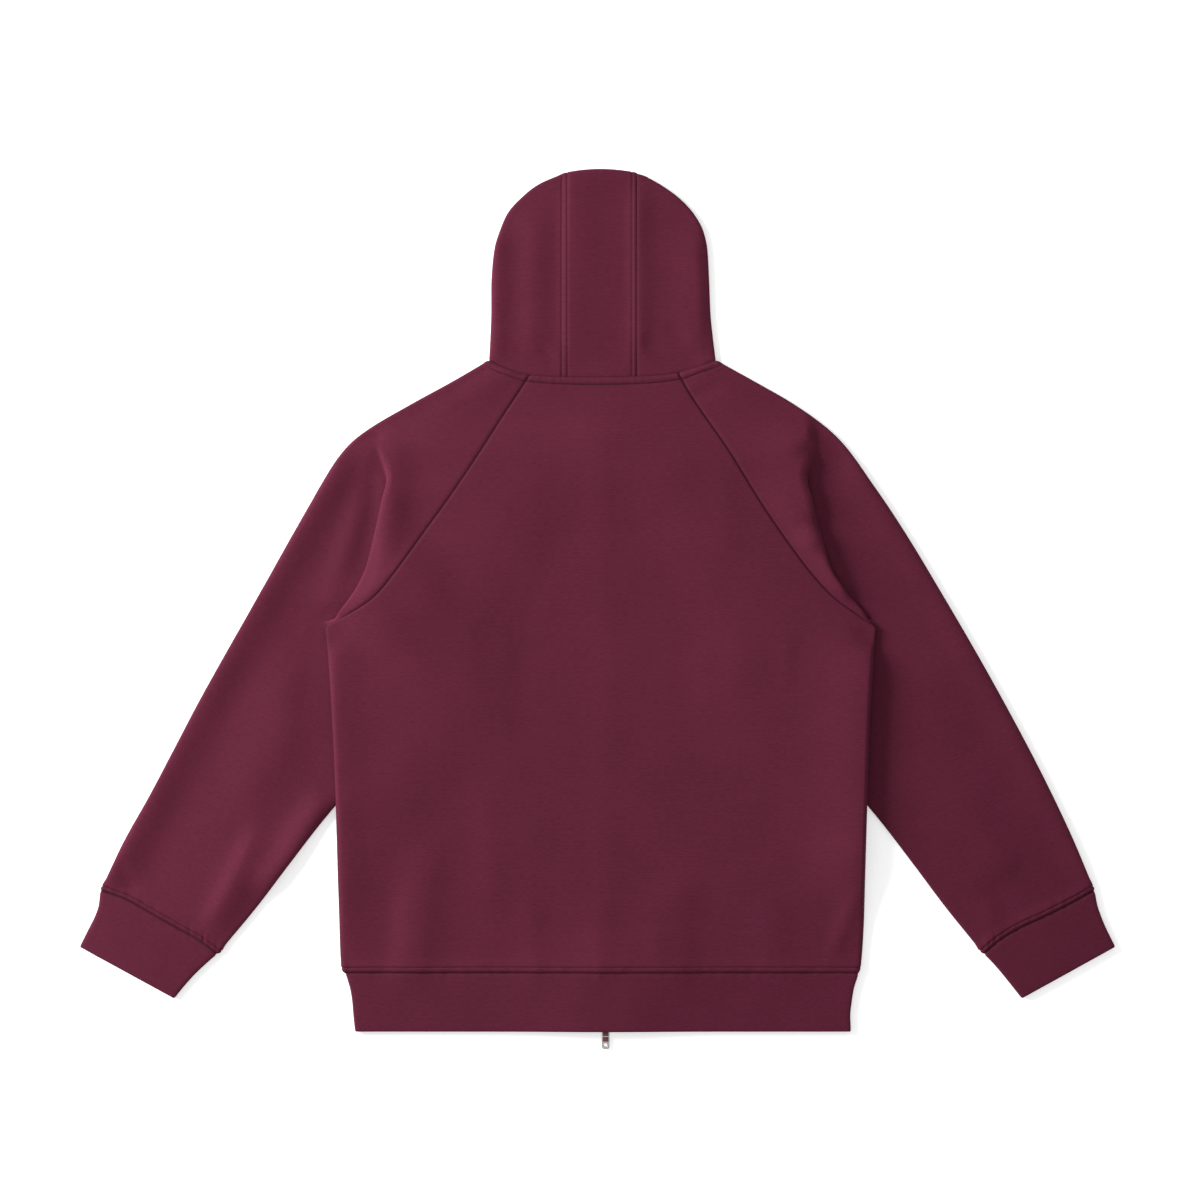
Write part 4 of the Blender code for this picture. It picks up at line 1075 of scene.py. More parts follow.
@dataclass
class Sleeve:
    """A raglan sleeve: a ring below the underarm, open between the raglan seams above it."""

    side: Side
    lay: Lay
    flap_cells: int = 3
    tuck_cells: int = 7
    top_cells: int = 4
    fold_cells: int = 3
    bottom_cells: int = 5
    return_cells: int = 2
    eased: float = 5.0
    step_reach: float = 1.8
    fold_end_share: float = 0.6
    under_share: float = 0.25
    bow_reach: float = 60.0
    seam_fade: Two = (0.0, 22.0)
    fold_ends: float = 166.0
    crest_end: float = 0.80
    crest_neck: float = 0.45
    grain: float = 0.45
    turn_start: float = 0.84
    underarm_bunched: float = 0.10
    cut: Two = (0.56, 0.80)
    cut_area: float = 0.24

    @property
    def rise(self) -> Rise:
        """How this sleeve comes out from beside the body."""
        return SLEEVE_RISE[self.side]

    def _clear(self, point: Vector, start: float, end: float) -> float:
        """From 0 near the body to 1 out in the open, on the upper layer."""
        away = abs(point.x - S.centre) - read(BODY_SIDE, self.side, max(point.y, S.hem_seam))
        if point.y > BODY_SIDE[0].y:
            away = (point - spot(BODY_SIDE, self.side, BODY_SIDE[0].y)).length
        return smooth(start, end, away)

    def _top_z(self, point: Vector, across: float) -> float:
        """Height of the upper layer at a share of the way from the outer edge."""
        return S.second + self._clear(point, *self.rise.clear) * self._fullness(across)

    def _fullness(self, across: float) -> float:
        """How far the upper layer stands above the second one, at a share from the outer edge."""
        puff = S.sleeve_puff * math.sin(math.pi * min(across, 1.0) ** self.rise.skew)
        return 2 * S.outer_radius - S.layer + puff

    def _outer_fold(self, y: float) -> Points:
        """The points round the outer edge at a height."""
        outward = edge_normal(SLEEVE_OUTER, self.side, y)
        top = S.floor + 2 * S.outer_radius
        return fold(spot(SLEEVE_OUTER, self.side, y), outward, top, S.floor)

    def _ring(self, ring: Ring) -> Points:
        """One closed ring, from the underarm seam outward, round, and back to it."""
        outer = spot(SLEEVE_OUTER, self.side, ring.outer_y)
        inner = spot(SLEEVE_INNER, self.side, ring.inner_y)
        inward, length = (inner - outer).normalized(), (inner - outer).length
        outer_fold = self._outer_fold(ring.outer_y)
        inner_fold = fold(inner, inward, S.floor, self._top_z(inner, 1.0))
        outer_root, inner_root = Vector(outer_fold[0][:2]), Vector(inner_fold[0][:2])
        seam = mix(outer, inner, ring.seam)
        bunch_end = mix(seam, outer_root, ring.bunched)
        plan = (spread(seam, bunch_end, self.flap_cells + self.tuck_cells)
                + spread(bunch_end, outer_root, self.top_cells)[1:])
        plan = plan[:-1] + spread(inner_root, seam, self.return_cells)[1:]
        top = [(p.x, p.y, self._top_z(p, (p - outer).length / length)) for p in plan]
        back = len(top) - self.return_cells
        bottom = self._bottom(outer_root, inner_root)
        ring_points = top[:back] + outer_fold + bottom + inner_fold + top[back:]
        amount = 1.0 - smooth(0.0, self.bow_reach, ring.outer_y - RINGS[0].outer_y)
        points = []
        for x, y, z in bowed(self.side, ring_points, outer, inner, amount):
            clear = self._clear(Vector((x, y)), *self.rise.share_clear)
            points.append((x, y, z, min(max((z - S.floor) / S.layer, 0.0), 1.0) * clear))
        return points

    def _bottom(self, outer_root: Vector, inner_root: Vector) -> Points:
        """The lower layer on the floor, between its two folds."""
        plan = spread(outer_root, inner_root, self.bottom_cells)[1:-1]
        return [(p.x, p.y, S.floor) for p in plan]

    def _tuck(self, crest: Vector, outward: Vector, flap_z: float, tuck: float) -> Points:
        """The crest fold and the one it hides, or a steep step where they start or end."""
        if tuck == 0.0:
            middle = crest - outward * (S.cloth / 2 + self.step_reach)
            points = []
            for step in range(self.tuck_cells + 1):
                share = step / self.tuck_cells
                plan = middle + outward * self.step_reach * (2 * share - 1)
                points.append((plan.x, plan.y, mix(flap_z, S.second, smooth(0.0, 1.0, share))))
            return points
        crest_fold = fold(crest, outward, flap_z, S.second + S.layer)
        hidden = Vector(crest_fold[0][:2]) - outward * (tuck + S.cloth / 2 + S.layer / 2)
        return crest_fold + fold(hidden, -outward, S.second + S.layer, S.second)

    def _tucked_top(self, section: Section, outer_root: Vector, back: Vector) -> Points:
        """The upper layer from the back raglan seam: flap, fold, tuck and sleeve."""
        crest = spot(CREST, self.side, section.crest_y)
        outward = (crest - back).normalized()
        flap_z = S.second + 2 * S.layer * (1.0 if section.tuck else self.fold_end_share)
        tuck = self._tuck(crest, outward, flap_z, section.tuck)
        flap_root, tuck_root = Vector(tuck[0][:2]), Vector(tuck[-1][:2])
        back_z = self.lay.upper_z(back.x, back.y)
        flap = [(p.x, p.y, mix(back_z, flap_z, step / self.flap_cells), 1.0)
                for step, p in enumerate(spread(back, flap_root, self.flap_cells)[:-1])]
        half = len(tuck) / 2
        tuck = [(*p, mix(1.0, self.under_share, min(step / half, 1.0)))
                for step, p in enumerate(tuck)]
        outer = spot(SLEEVE_OUTER, self.side, section.outer_y)
        front = spot(RAGLAN_FRONT, self.side, section.front_y)
        wide = (front - outer).length + section.under
        top = []
        for plan in spread(tuck_root, outer_root, self.top_cells)[1:-1]:
            away = (plan - tuck_root).length
            full = self._fullness((plan - outer).length / wide)
            height = S.second + full * smooth(*self.rise.clear, away)
            share = mix(self.under_share, 1.0, smooth(0.0, self.rise.share_reach, away))
            top.append((plan.x, plan.y, height, share))
        return flap + tuck + top

    def _smooth_top(self, section: Section, outer_root: Vector, back: Vector) -> Points:
        """The upper layer above the tuck's end: one stretch from the seam to the edge."""
        outer = spot(SLEEVE_OUTER, self.side, section.outer_y)
        place = smooth(SECTIONS[-1].outer_y, self.fold_ends, section.outer_y)
        crest = mix(back, outer, mix(self.crest_neck, self.crest_end, place))
        ease = (outer_root - back).normalized() * self.eased / 2
        plan = (spread(back, crest - ease, self.flap_cells)
                + spread(crest - ease, crest + ease, self.tuck_cells)[1:]
                + spread(crest + ease, outer_root, self.top_cells)[1:-1])
        back_z, length = self.lay.upper_z(back.x, back.y), (outer_root - back).length
        points = []
        for p in plan:
            share = (p - back).length / length
            height = mix(back_z, S.floor + 2 * S.outer_radius, smooth(0.0, 1.0, share))
            puff = S.sleeve_puff * math.sin(math.pi * share) ** 2
            points.append((p.x, p.y, height + puff, 1.0))
        return points

    def _open_bottom(self, outer_root: Vector, front: Vector, turn: float) -> Points:
        """The lower layer where it isn't folded under, its edge turned up by a share."""
        inward = (front - outer_root).normalized()
        end = front - inward * (S.seam + S.cloth * turn)
        angle = math.pi / 2 * turn
        bend = S.layer * math.sin(angle) + self.eased * (1 - turn)
        start = end - inward * bend
        end_z = min(self.lay.lower_z(front.x, front.y), S.floor + S.layer)
        base_z = max(end_z - S.layer * (1 - math.cos(angle)), S.floor)
        length = (start - outer_root).length
        points = []
        for p in spread(outer_root, start, self.bottom_cells)[1:]:
            rise = smooth(0.5, 1.0, (p - outer_root).length / length)
            points.append((p.x, p.y, mix(S.floor, base_z, rise)))
        shares = spread(0.0, self.turn_start, self.fold_cells)[1:]
        for share in shares + spread(self.turn_start, 1.0, self.return_cells)[1:]:
            way = mix(bend * share, bend * math.sin(math.pi / 2 * share), turn)
            plan = start + inward * way
            points.append((plan.x, plan.y, base_z + S.layer * (1 - math.cos(angle * share))))
        return points

    def _section(self, section: Section) -> Points:
        """One open section, from the back raglan seam over the outer edge to the front one."""
        outer = spot(SLEEVE_OUTER, self.side, section.outer_y)
        back = spot(RAGLAN_BACK, self.side, section.back_y)
        front = spot(RAGLAN_FRONT, self.side, section.front_y)
        outer_fold = self._outer_fold(section.outer_y)
        outer_root = Vector(outer_fold[0][:2])
        shape_top = self._smooth_top if section.tuck is None else self._tucked_top
        if not section.under:
            rest = self._open_bottom(outer_root, front, section.turn)
        else:
            inner = self.lay.inner_point(self.side, section)
            inner_fold = fold(inner, (inner - outer).normalized(), S.floor, S.second)
            inner_root = Vector(inner_fold[0][:2])
            rest = self._bottom(outer_root, inner_root) + inner_fold
            plan = spread(inner_root, front, self.return_cells)[1:]
            rest += [(p.x, p.y, S.second) for p in plan]
        rim = [(x, y, z, (z - S.floor) / (2 * S.outer_radius)) for x, y, z in outer_fold]
        return shape_top(section, outer_root, back) + rim + [(*p, 0.0) for p in rest]

    def rows(self) -> Array:
        """All rows from the cuff to the neck."""
        outer = spot(SLEEVE_OUTER, self.side, UNDERARM.outer_y)
        inner = spot(SLEEVE_INNER, self.side, UNDERARM_INNER_Y)
        point = spot(RAGLAN_BACK, self.side, UNDERARM.back_y)
        share = (point - outer).length / (inner - outer).length
        last = Ring(UNDERARM.outer_y, UNDERARM_INNER_Y, share, self.underarm_bunched)
        rings = [*RINGS, last]
        rows = [self._ring(ring) for ring in rings] + [self._section(s) for s in SECTIONS]
        upper = self.flap_cells + self.tuck_cells + self.top_cells + self.fold_cells // 2
        neck = [(x, (back_neck_y(x) if index <= upper else front_neck_y(x)) - S.seam, z, lift)
                for index, (x, _, z, lift) in enumerate(rows[-1])]
        return np.array(rows[:-1] + [neck])

    def make(self, finish: Finish) -> ClothSheet:
        """Build the sleeve and return its sheet for the stitches."""
        edging = {
            Border.START: CUFF_EDGE, Border.END: NECK_EDGE,
            Border.FIRST: Edging(dip=1.2, dip_wide=2.0, pucker=0.25, reach=0.4, dark=0.85),
            Border.LAST: Edging(dip=0.4, pucker=0.15),
        }
        name = f"{self.side.label}_sleeve"
        sheet = ClothSheet(f"{name}_cloth", self.rows(), flip=self.side is Side.LEFT,
                           edging=edging, closed_rows=len(RINGS) + 1,
                           folds=SLEEVE_FOLDS[self.side], grain=self.side.value * self.grain,
                           side_fade=self.seam_fade)
        return SewnPiece(sheet, name, self.cut, self.cut_area).place(finish)


@dataclass
class Cuff:
    """A doubled cuff: a flattened ring that curves out to its opening."""

    side: Side
    puff: float = 0.5
    bow_reach: float = 50.0
    cells: int = 6
    grain: float = 0.50
    cut: Two = (0.26, 0.066)

    def _end(self, row: CuffRow, end: str) -> Vector:
        """The plan point of a row's outer or inner end."""
        distance = getattr(row, f"{end}_{self.side.label}")
        return Vector((side_x(self.side, distance), getattr(row, f"{end}_y")))

    def rows(self) -> Array:
        """Rows from the sleeve's seam to the opening."""
        rows = []
        for row in CUFF_ROWS:
            outer, inner = self._end(row, "outer"), self._end(row, "inner")
            outward = (outer - inner).normalized()
            low, high = S.rib / 2, S.rib / 2 + 2 * S.outer_radius
            outer_fold = fold(outer, outward, high, low, S.rib)
            inner_fold = fold(inner, -outward, low, high, S.rib)
            outer_root, inner_root = Vector(outer_fold[0][:2]), Vector(inner_fold[0][:2])
            bottom = [(p.x, p.y, low) for p in spread(outer_root, inner_root, self.cells)[1:-1]]
            top = [(p.x, p.y, high + self.puff * math.sin(math.pi * step / self.cells))
                   for step, p in enumerate(spread(inner_root, outer_root, self.cells))][1:]
            amount = 1.0 - smooth(0.0, self.bow_reach, CUFF_ROWS[0].outer_y - row.outer_y)
            ring = bowed(self.side, outer_fold + bottom + inner_fold + top, outer, inner, amount)
            rows.append([(x, y, z, share_of(low, high, z)) for x, y, z in ring])
        return np.array(rows)

    def make(self, finish: Finish) -> ClothSheet:
        """Build the cuff and return its sheet."""
        seam = Edging(dip=1.0, dip_wide=1.6, pucker=0.30, reach=0.7, dark=0.85)
        name = f"{self.side.label}_cuff"
        sheet = ClothSheet(f"{name}_cloth", self.rows(), S.rib, self.side is Side.RIGHT,
                           cell=4.0, edging={Border.START: seam, Border.END: FREE_EDGE},
                           closed_rows=len(CUFF_ROWS), grain=self.side.value * self.grain)
        return SewnPiece(sheet, name, self.cut).place(finish)


# --- Body ---


ACROSS_CELLS = 9
CLOSER_AT_ZIP = 1.15


def across(left: float, right: float) -> list[float]:
    """Places along X between a row's two ends, closer together toward the zip."""
    shares = [(step / ACROSS_CELLS) ** CLOSER_AT_ZIP for step in range(1, ACROSS_CELLS)]
    xs = [mix(S.zip_x, left, share) for share in reversed(shares)]
    return xs + [S.zip_x] + [mix(S.zip_x, right, share) for share in shares]


@dataclass
class BodyPanels:
    """The back and the two fronts."""

    lay: Lay
    edge_wide: float = 2.0
    edge_in: float = 3.0
    turn_start: float = 1.0
    turn_end: float = -11.0
    front_drop: float = 47.4
    drop_start: float = SIDE_ROWS[4]
    back_cut: Two = (0.64, 0.68)
    back_area: float = 0.33
    front_cut: Two = (0.32, 0.64)
    front_area: float = 0.15

    def _edge(self, side: Side, y: float, front: bool) -> float:
        """Distance from the middle line to the edge of the back or a front."""
        if y > BODY_SIDE[0].y:
            return read(RAGLAN_FRONT if front else RAGLAN_BACK, side, y) - S.seam
        return read(BODY_SIDE, side, y)

    def _curl(self, side: Side, y: float, front: bool) -> list[Two]:
        """The last places along X of a row and their heights, turned in at a side seam."""
        edge = self._edge(side, y, front)
        at = (side_x(side, edge - self.edge_in), y)
        z_here, z_other = self.lay.upper_z(*at), self.lay.lower_z(*at)
        if front:
            z_here, z_other = z_other, z_here
        turn = smooth(BODY_SIDE[0].y + self.turn_start, BODY_SIDE[0].y + self.turn_end, y)
        radius = (abs(z_other - z_here) - S.side_gap) / 2
        root = edge - turn * (S.cloth / 2 + radius) - (1 - turn) * self.edge_wide
        points = []
        for share in (0.0, 0.5, 1.0):
            angle = math.pi / 2 * share
            plan = root + mix(self.edge_wide * share, radius * math.sin(angle), turn)
            height = z_here + turn * math.copysign(radius, z_other - z_here) * (1 - math.cos(angle))
            points.append((side_x(side, plan), height))
        return points

    def _back_row(self, y: float) -> Points:
        """A row of the back from its left edge to its right edge."""
        left, right = self._curl(Side.LEFT, y, False), self._curl(Side.RIGHT, y, False)
        row = [(x, y, z) for x, z in reversed(left)]
        row += [(x, y, self.lay.upper_z(x, y)) for x in across(left[0][0], right[0][0])]
        return row + [(x, y, z) for x, z in right]

    def zip_edge_y(self, outer_y: float) -> float:
        """Where a front's row meets the zip: lower than its outer end near the neck."""
        return outer_y - self.front_drop * smooth(self.drop_start, NECK_FRONT_Y[1], outer_y)

    def _front_row(self, side: Side, outer_y: float) -> Points:
        """A row of a front from its raglan or side edge to the zip."""
        curl = self._curl(side, outer_y, True)
        start_x, end_x = curl[0][0], zip_edge(side)
        end_y = self.zip_edge_y(outer_y)
        points = [(x, outer_y, z) for x, z in reversed(curl)]
        for step in range(1, ACROSS_CELLS + 1):
            share = 1.0 - (1.0 - step / ACROSS_CELLS) ** CLOSER_AT_ZIP
            x, y = mix(start_x, end_x, share), mix(outer_y, end_y, share)
            points.append((x, y, self.lay.lower_z(x, y)))
        return points

    def _shared(self, rows: list[Points]) -> Array:
        """The rows with each point's share of the upper creases."""
        return np.array([[(*p, self.lay.share(*p)) for p in row] for row in rows])

    def make_back(self, finish: Finish) -> ClothSheet:
        """Build the back and return its sheet."""
        rows = [self._back_row(section.back_y) for section in reversed(SECTIONS)]
        rows[0] = [(x, back_neck_y(x) - S.seam, z) for x, _, z in rows[0]]
        rows += [self._back_row(y) for y in SIDE_ROWS]
        seam = Edging(dip=0.9, dip_wide=1.4, pucker=0.2, reach=0.4, dark=0.8)
        edging = {
            Border.START: replace(NECK_EDGE, reach=0.7, stitch_dark=0.7), Border.END: HEM_EDGE,
            Border.FIRST: seam, Border.LAST: seam,
        }
        sheet = ClothSheet("back_cloth", self._shared(rows), flip=True, edging=edging,
                           folds=BACK_FOLDS)
        return SewnPiece(sheet, "back_panel", self.back_cut, self.back_area,
                         ("left_front", "right_front")).place(finish)

    def make_front(self, side: Side, finish: Finish) -> ClothSheet:
        """Build one front and return its sheet."""
        rows = [self._front_row(side, section.front_y) for section in reversed(SECTIONS)]
        rows[0] = [(x, front_neck_y(x) - S.seam, z) for x, _, z in rows[0]]
        rows += [self._front_row(side, y) for y in SIDE_ROWS]
        edging = {
            Border.START: Edging(dip=0.3, stitch=8.0, groove=0.25),
            Border.END: Edging(dip=0.4, stitch=6.0, groove=0.25, pucker=0.10),
            Border.FIRST: Edging(dip=0.4),
            Border.LAST: Edging(dip=0.15, stitch=6.0, groove=0.25, reach=0.0, dark=0.0),
        }
        name = f"{side.label}_front"
        sheet = ClothSheet(f"{name}_cloth", self._shared(rows), flip=side is Side.RIGHT,
                           edging=edging)
        return SewnPiece(sheet, name, self.front_cut, self.front_area).place(finish)


@dataclass
class HemBand:
    """The hem band: one doubled strip from the zip round the back to the zip."""

    lay: Lay
    under_cells: int = 6
    cut: Two = (1.10, 0.065)

    def rows(self) -> Array:
        """Rows from the body's seam to the lower edge."""
        rows = []
        for y in BAND_ROWS:
            halves = {}
            for side in Side:
                edge = side_x(side, read(BAND_SIDE, side, y))
                low, high = self.lay.band_z(edge, 0.0), self.lay.band_z(edge, 1.0)
                turn = fold(Vector((edge, y)), Vector((side.value, 0.0)), low, high, S.rib)
                xs = spread(zip_edge(side), turn[0][0], self.under_cells)[:-1]
                halves[side] = [(x, y, self.lay.band_z(x, 0.0)) for x in xs] + turn
            xs = across(halves[Side.LEFT][-1][0], halves[Side.RIGHT][-1][0])
            top = [(x, y, self.lay.band_z(x, 1.0)) for x in xs]
            row = halves[Side.LEFT] + top + halves[Side.RIGHT][::-1]
            rows.append([(x, y, z, self._share(x, z)) for x, y, z in row])
        return np.array(rows)

    def _share(self, x: float, z: float) -> float:
        """How far up between the band's two layers a point lies, from 0 to 1."""
        return share_of(self.lay.band_z(x, 0.0), self.lay.band_z(x, 1.0), z)

    def make(self, finish: Finish) -> ClothSheet:
        """Build the band and return its sheet."""
        seam = Edging(dip=1.1, dip_wide=1.6, pucker=0.40, reach=0.7, dark=0.85)
        sheet = ClothSheet("hem_band_cloth", self.rows(), S.rib, True, cell=4.0,
                           edging={Border.START: seam, Border.END: FREE_EDGE})
        return SewnPiece(sheet, "hem_band", self.cut).place(finish)


# --- Hood ---


@dataclass
class Hood:
    """The three-panel hood, folded flat with its face opening underneath."""

    lay: Lay
    fan: float = 1.5
    first_share: float = 0.035
    top_reach: float = 0.6
    top_spread: float = 2.0
    top_bow: float = 5.0
    crown_cells: tuple[int, int, int] = (6, 9, 4)
    upper_cells: int = 5
    lower_cells: int = 3
    opening_cells: int = 6
    neck_cells: int = 7
    crown_cut: Two = (0.083, 0.345)
    side_cut: Two = (0.25, 0.30)
    side_area: float = 0.037

    def _seam_x(self, side: Side) -> float:
        """The place along X of a side panel's seam with the strip."""
        seam = S.hood_seam_left if side is Side.LEFT else S.hood_seam_right
        return side_x(side, seam + S.seam / 2)

    def _turn(self, x: float, y: float, outward: Vector) -> Points:
        """The points round the hood's fold at an edge, from its upper side to its underside."""
        return fold(Vector((x, y)), outward, self.lay.upper_z(x, y), self.lay.lower_z(x, y))

    def _crown_rows(self) -> Array:
        """Rows of the crown strip along its length, from the back neck over the top."""
        left = S.centre - S.hood_seam_left + S.seam / 2
        right = S.centre + S.hood_seam_right - S.seam / 2
        wide_cells, up_cells, down_cells = self.crown_cells
        columns = []
        for x in spread(left, right, wide_cells):
            edge = S.hood_top - self.top_bow * ((x - S.centre) / S.hood_seam_left) ** 2
            turn = self._turn(x, edge, Vector((0.0, 1.0)))
            root = turn[0][1]
            up_ys = spread(back_neck_y(x), root, up_cells)[:-1]
            down_ys = spread(root, S.crown_end + S.seam, down_cells)[1:]
            column = [(x, y, self.lay.upper_z(x, y)) for y in up_ys] + turn
            column += [(x, y, self.lay.lower_z(x, y)) for y in down_ys]
            columns.append([(*p, self.lay.share(*p)) for p in column])
        return np.array(columns).transpose(1, 0, 2)

    def make_crown(self, finish: Finish) -> ClothSheet:
        """Build the strip over the crown and return its sheet."""
        edging = {
            Border.START: Edging(dip=0.5, dip_wide=1.4, pucker=0.12, reach=0.7, dark=0.55),
            Border.FIRST: CROWN_EDGE,
            Border.LAST: replace(CROWN_EDGE, dip=0.9, dip_wide=1.3, dark=0.9),
            Border.END: OPENING_EDGE,
        }
        sheet = ClothSheet("hood_center_cloth", self._crown_rows(), edging=edging, cell=4.0)
        return SewnPiece(sheet, "hood_center", self.crown_cut,
                         rests_on=("hood_left", "hood_right")).place(finish)

    def _side_row(self, side: Side, share: float) -> Points:
        """A row of a side panel at a share of the way from the crown to the neck."""
        top_y, seam_x = S.hood_side_top, self._seam_x(side)
        edge_y = mix(top_y, HOOD_SIDE[0].y, share ** self.fan)
        edge = spot(HOOD_SIDE, side, edge_y)
        turn = self._turn(*edge, edge_normal(HOOD_SIDE, side, edge_y))
        root = Vector(turn[0][:2])
        row = []
        for step, x in enumerate(spread(seam_x, root.x, self.upper_cells)[:-1]):
            neck_y = back_neck_y(x)
            near, far = mix(top_y, neck_y, share), mix(root.y, neck_y, share ** 4)
            y = mix(near, far, step / self.upper_cells)
            row.append((x, y, self.lay.upper_z(x, y)))
        row += turn
        end = Vector((seam_x, mix(top_y, front_neck_y(zip_edge(side)), share)))
        if end.y < S.crown_end:
            end.x = mix(zip_edge(side), seam_x, read(FACE_OPENING, side, end.y))
        front_seam = Vector((side_x(side, NECK_FRONT_REACH[1]), NECK_FRONT_Y[1]))
        middle = mix(mix(root, end, 0.5), front_seam, share ** 2)
        plan = spread(root, middle, self.lower_cells)[1:]
        plan += spread(middle, end, self.lower_cells)[1:]
        row += [(p.x, p.y, self.lay.lower_z(*p)) for p in plan]
        return [(*p, self.lay.share(*p)) for p in row]

    def _top_row(self, side: Side) -> Points:
        """A side panel's first row: over the crown's fold, along the strip's seam."""
        x = self._seam_x(side)
        edge = Vector((x, S.hood_side_top + self.top_reach))
        turn = self._turn(*edge, Vector((0.0, 1.0)))
        root_y = turn[0][1]
        start_y = root_y - self.top_spread
        up = [(x, y, turn[0][2]) for y in spread(start_y, root_y, self.upper_cells)[:-1]]
        down = [(x, y, turn[-1][2]) for y in spread(root_y, start_y, 2 * self.lower_cells)[1:]]
        return [(*p, self.lay.share(*p)) for p in up + turn + down]

    def make_side(self, side: Side, finish: Finish) -> ClothSheet:
        """Build one side panel and return its sheet."""
        neck_end = front_neck_y(zip_edge(side))
        crown_share = (S.hood_side_top - S.crown_end) / (S.hood_side_top - neck_end)
        shares = spread(self.first_share, crown_share, self.opening_cells)[:-1]
        shares += spread(crown_share, 1.0, self.neck_cells)
        rows = np.array([self._top_row(side)] + [self._side_row(side, share) for share in shares])
        edging = {
            Border.START: Edging(dip=0.2, dip_wide=1.0, reach=1.3, dark=0.5),
            Border.END: Edging(dip=0.5, dip_wide=1.4, pucker=0.12, reach=0.9, dark=0.55),
            Border.FIRST: Edging(dip=0.7, dip_wide=1.3, pucker=0.16, dark=0.5),
            Border.LAST: OPENING_EDGE,
        }
        name = f"hood_{side.label}"
        sheet = ClothSheet(f"{name}_cloth", rows, flip=side is Side.RIGHT, edging=edging,
                           cell=4.0)
        return SewnPiece(sheet, name, self.side_cut, self.side_area).place(finish)


# --- Sewing ---


@dataclass
class Sewing:
    """Topstitching: short thread stitches that lie in a groove of the cloth."""

    pitch: float = 3.3
    long: float = 2.5
    thick: float = 0.36
    sink: float = 0.05
    sharpest: float = 0.86
    probe: float = 0.4

    def _stitch(self) -> bpy.types.Mesh:
        """One stitch along X, rounded at both ends."""
        bm = bmesh.new()
        bmesh.ops.create_uvsphere(bm, u_segments=6, v_segments=4, radius=0.5)
        turn = Matrix.Rotation(math.pi / 2, 3, "Y")
        bmesh.ops.rotate(bm, cent=(0, 0, 0), matrix=turn, verts=bm.verts)
        size = (self.long * MM, self.thick * MM, self.thick * MM)
        bmesh.ops.scale(bm, vec=size, verts=bm.verts)
        return to_mesh("stitch", bm)

    def sew(self, name: str, lines: Sequence[tuple[Array, Array]], finish: Finish) -> Object:
        """Sew rows of stitches.

        Args:
            name: Name of the finished piece.
            lines: Each row's points on the cloth and the normals there.
            finish: The thread's finish.

        Returns:
            One object that holds every stitch.
        """
        one, bm = self._stitch(), bmesh.new()
        for points, normals in lines:
            steps = np.linalg.norm(np.diff(points, axis=0), axis=1)
            run = run_of(steps)
            keep = np.concatenate([[True], steps > 1e-6])
            run, points, normals = run[keep], points[keep], normals[keep]
            for start in np.arange(self.pitch / 2, run[-1] - self.pitch / 2, self.pitch):
                before, middle, after = (self._at(start + off, run, points)
                                         for off in (-self.probe, 0.0, self.probe))
                ends = [Vector(self._at(start + off, run, normals)).normalized()
                        for off in (-self.long / 2, self.long / 2)]
                if ends[0].dot(ends[1]) < self.sharpest:
                    continue
                out = (ends[0] + ends[1]).normalized()
                along = Vector(after - before)
                along = (along - out * along.dot(out)).normalized()
                turn = Matrix((along, out.cross(along), out)).transposed().to_4x4()
                where = Vector(middle) + out * (self.thick / 2 - self.sink)
                stamp(bm, one, Matrix.Translation(where * MM) @ turn)
        return finished(name, bm, finish, BODY)

    @staticmethod
    def _at(place: float, run: Array, values: Array) -> Array:
        """A row's point or normal at a distance along it."""
        return np.array([np.interp(place, run, values[:, axis]) for axis in range(3)])


# --- Zip ---


@dataclass
class Zip:
    """Two tapes and their moulded teeth, between a slider at each end."""

    lay: Lay
    pitch: float = 2.1
    tooth_long: float = 3.3
    tooth_wide: float = 1.0
    tooth_high: float = 2.1
    tooth_inward: float = 0.8
    tooth_round: float = 0.18
    slider_clear: float = 6.2
    tape_start: float = 1.0
    tape_end: float = 0.3
    tape_cells: tuple[int, int] = (4, 64)
    tape_cut: Two = (0.013, 0.645)

    def make_tape(self, side: Side, finish: Finish) -> None:
        """Build one tape as a woven strip."""
        wide_cells, long_cells = self.tape_cells
        ys = spread(S.hem_edge + self.tape_end, S.zip_top, long_cells)
        xs = spread(self.tape_start, S.tape_wide, wide_cells)
        rows = np.array([[(S.zip_x + side.value * x, y, self.lay.zip_z(y), 0.0) for x in xs]
                         for y in ys])
        name = f"zip_tape_{side.label}"
        sheet = ClothSheet(f"{name}_cloth", rows, S.tape, side is Side.RIGHT, cell=6.0)
        SewnPiece(sheet, name, self.tape_cut, rests_on=(f"{side.label}_front",),
                  slot="tape").place(finish)

    def make_teeth(self, side: Side, finish: Finish) -> None:
        """Build one tape's row of teeth."""
        one, bm = bmesh.new(), bmesh.new()
        half = Vector((self.tooth_long, self.tooth_wide, self.tooth_high)) / 2
        block(one, -half, half, self.tooth_round, 1)
        tooth = to_mesh("tooth", one)
        start, end = S.lower_slider_y + self.slider_clear, S.upper_slider_y - self.slider_clear
        shift = 0.0 if side is Side.LEFT else self.pitch / 2
        x = S.zip_x + side.value * (self.tooth_long / 2 - self.tooth_inward)
        for y in np.arange(start + shift, end, self.pitch):
            z = self.lay.zip_z(y) + float(LOWER.height(np.array([x]), np.array([y]))[0])
            stamp(bm, tooth, Matrix.Translation(Vector((x, y, z)) * MM))
        finished(f"zip_teeth_{side.label}", bm, finish, BODY)


def both_ways(middle: float, near: float, far: float) -> Iterator[list[float]]:
    """The stretch between two distances from a middle line, on its lower and its upper side."""
    for way in (-1, 1):
        yield sorted((middle + way * near, middle + way * far))


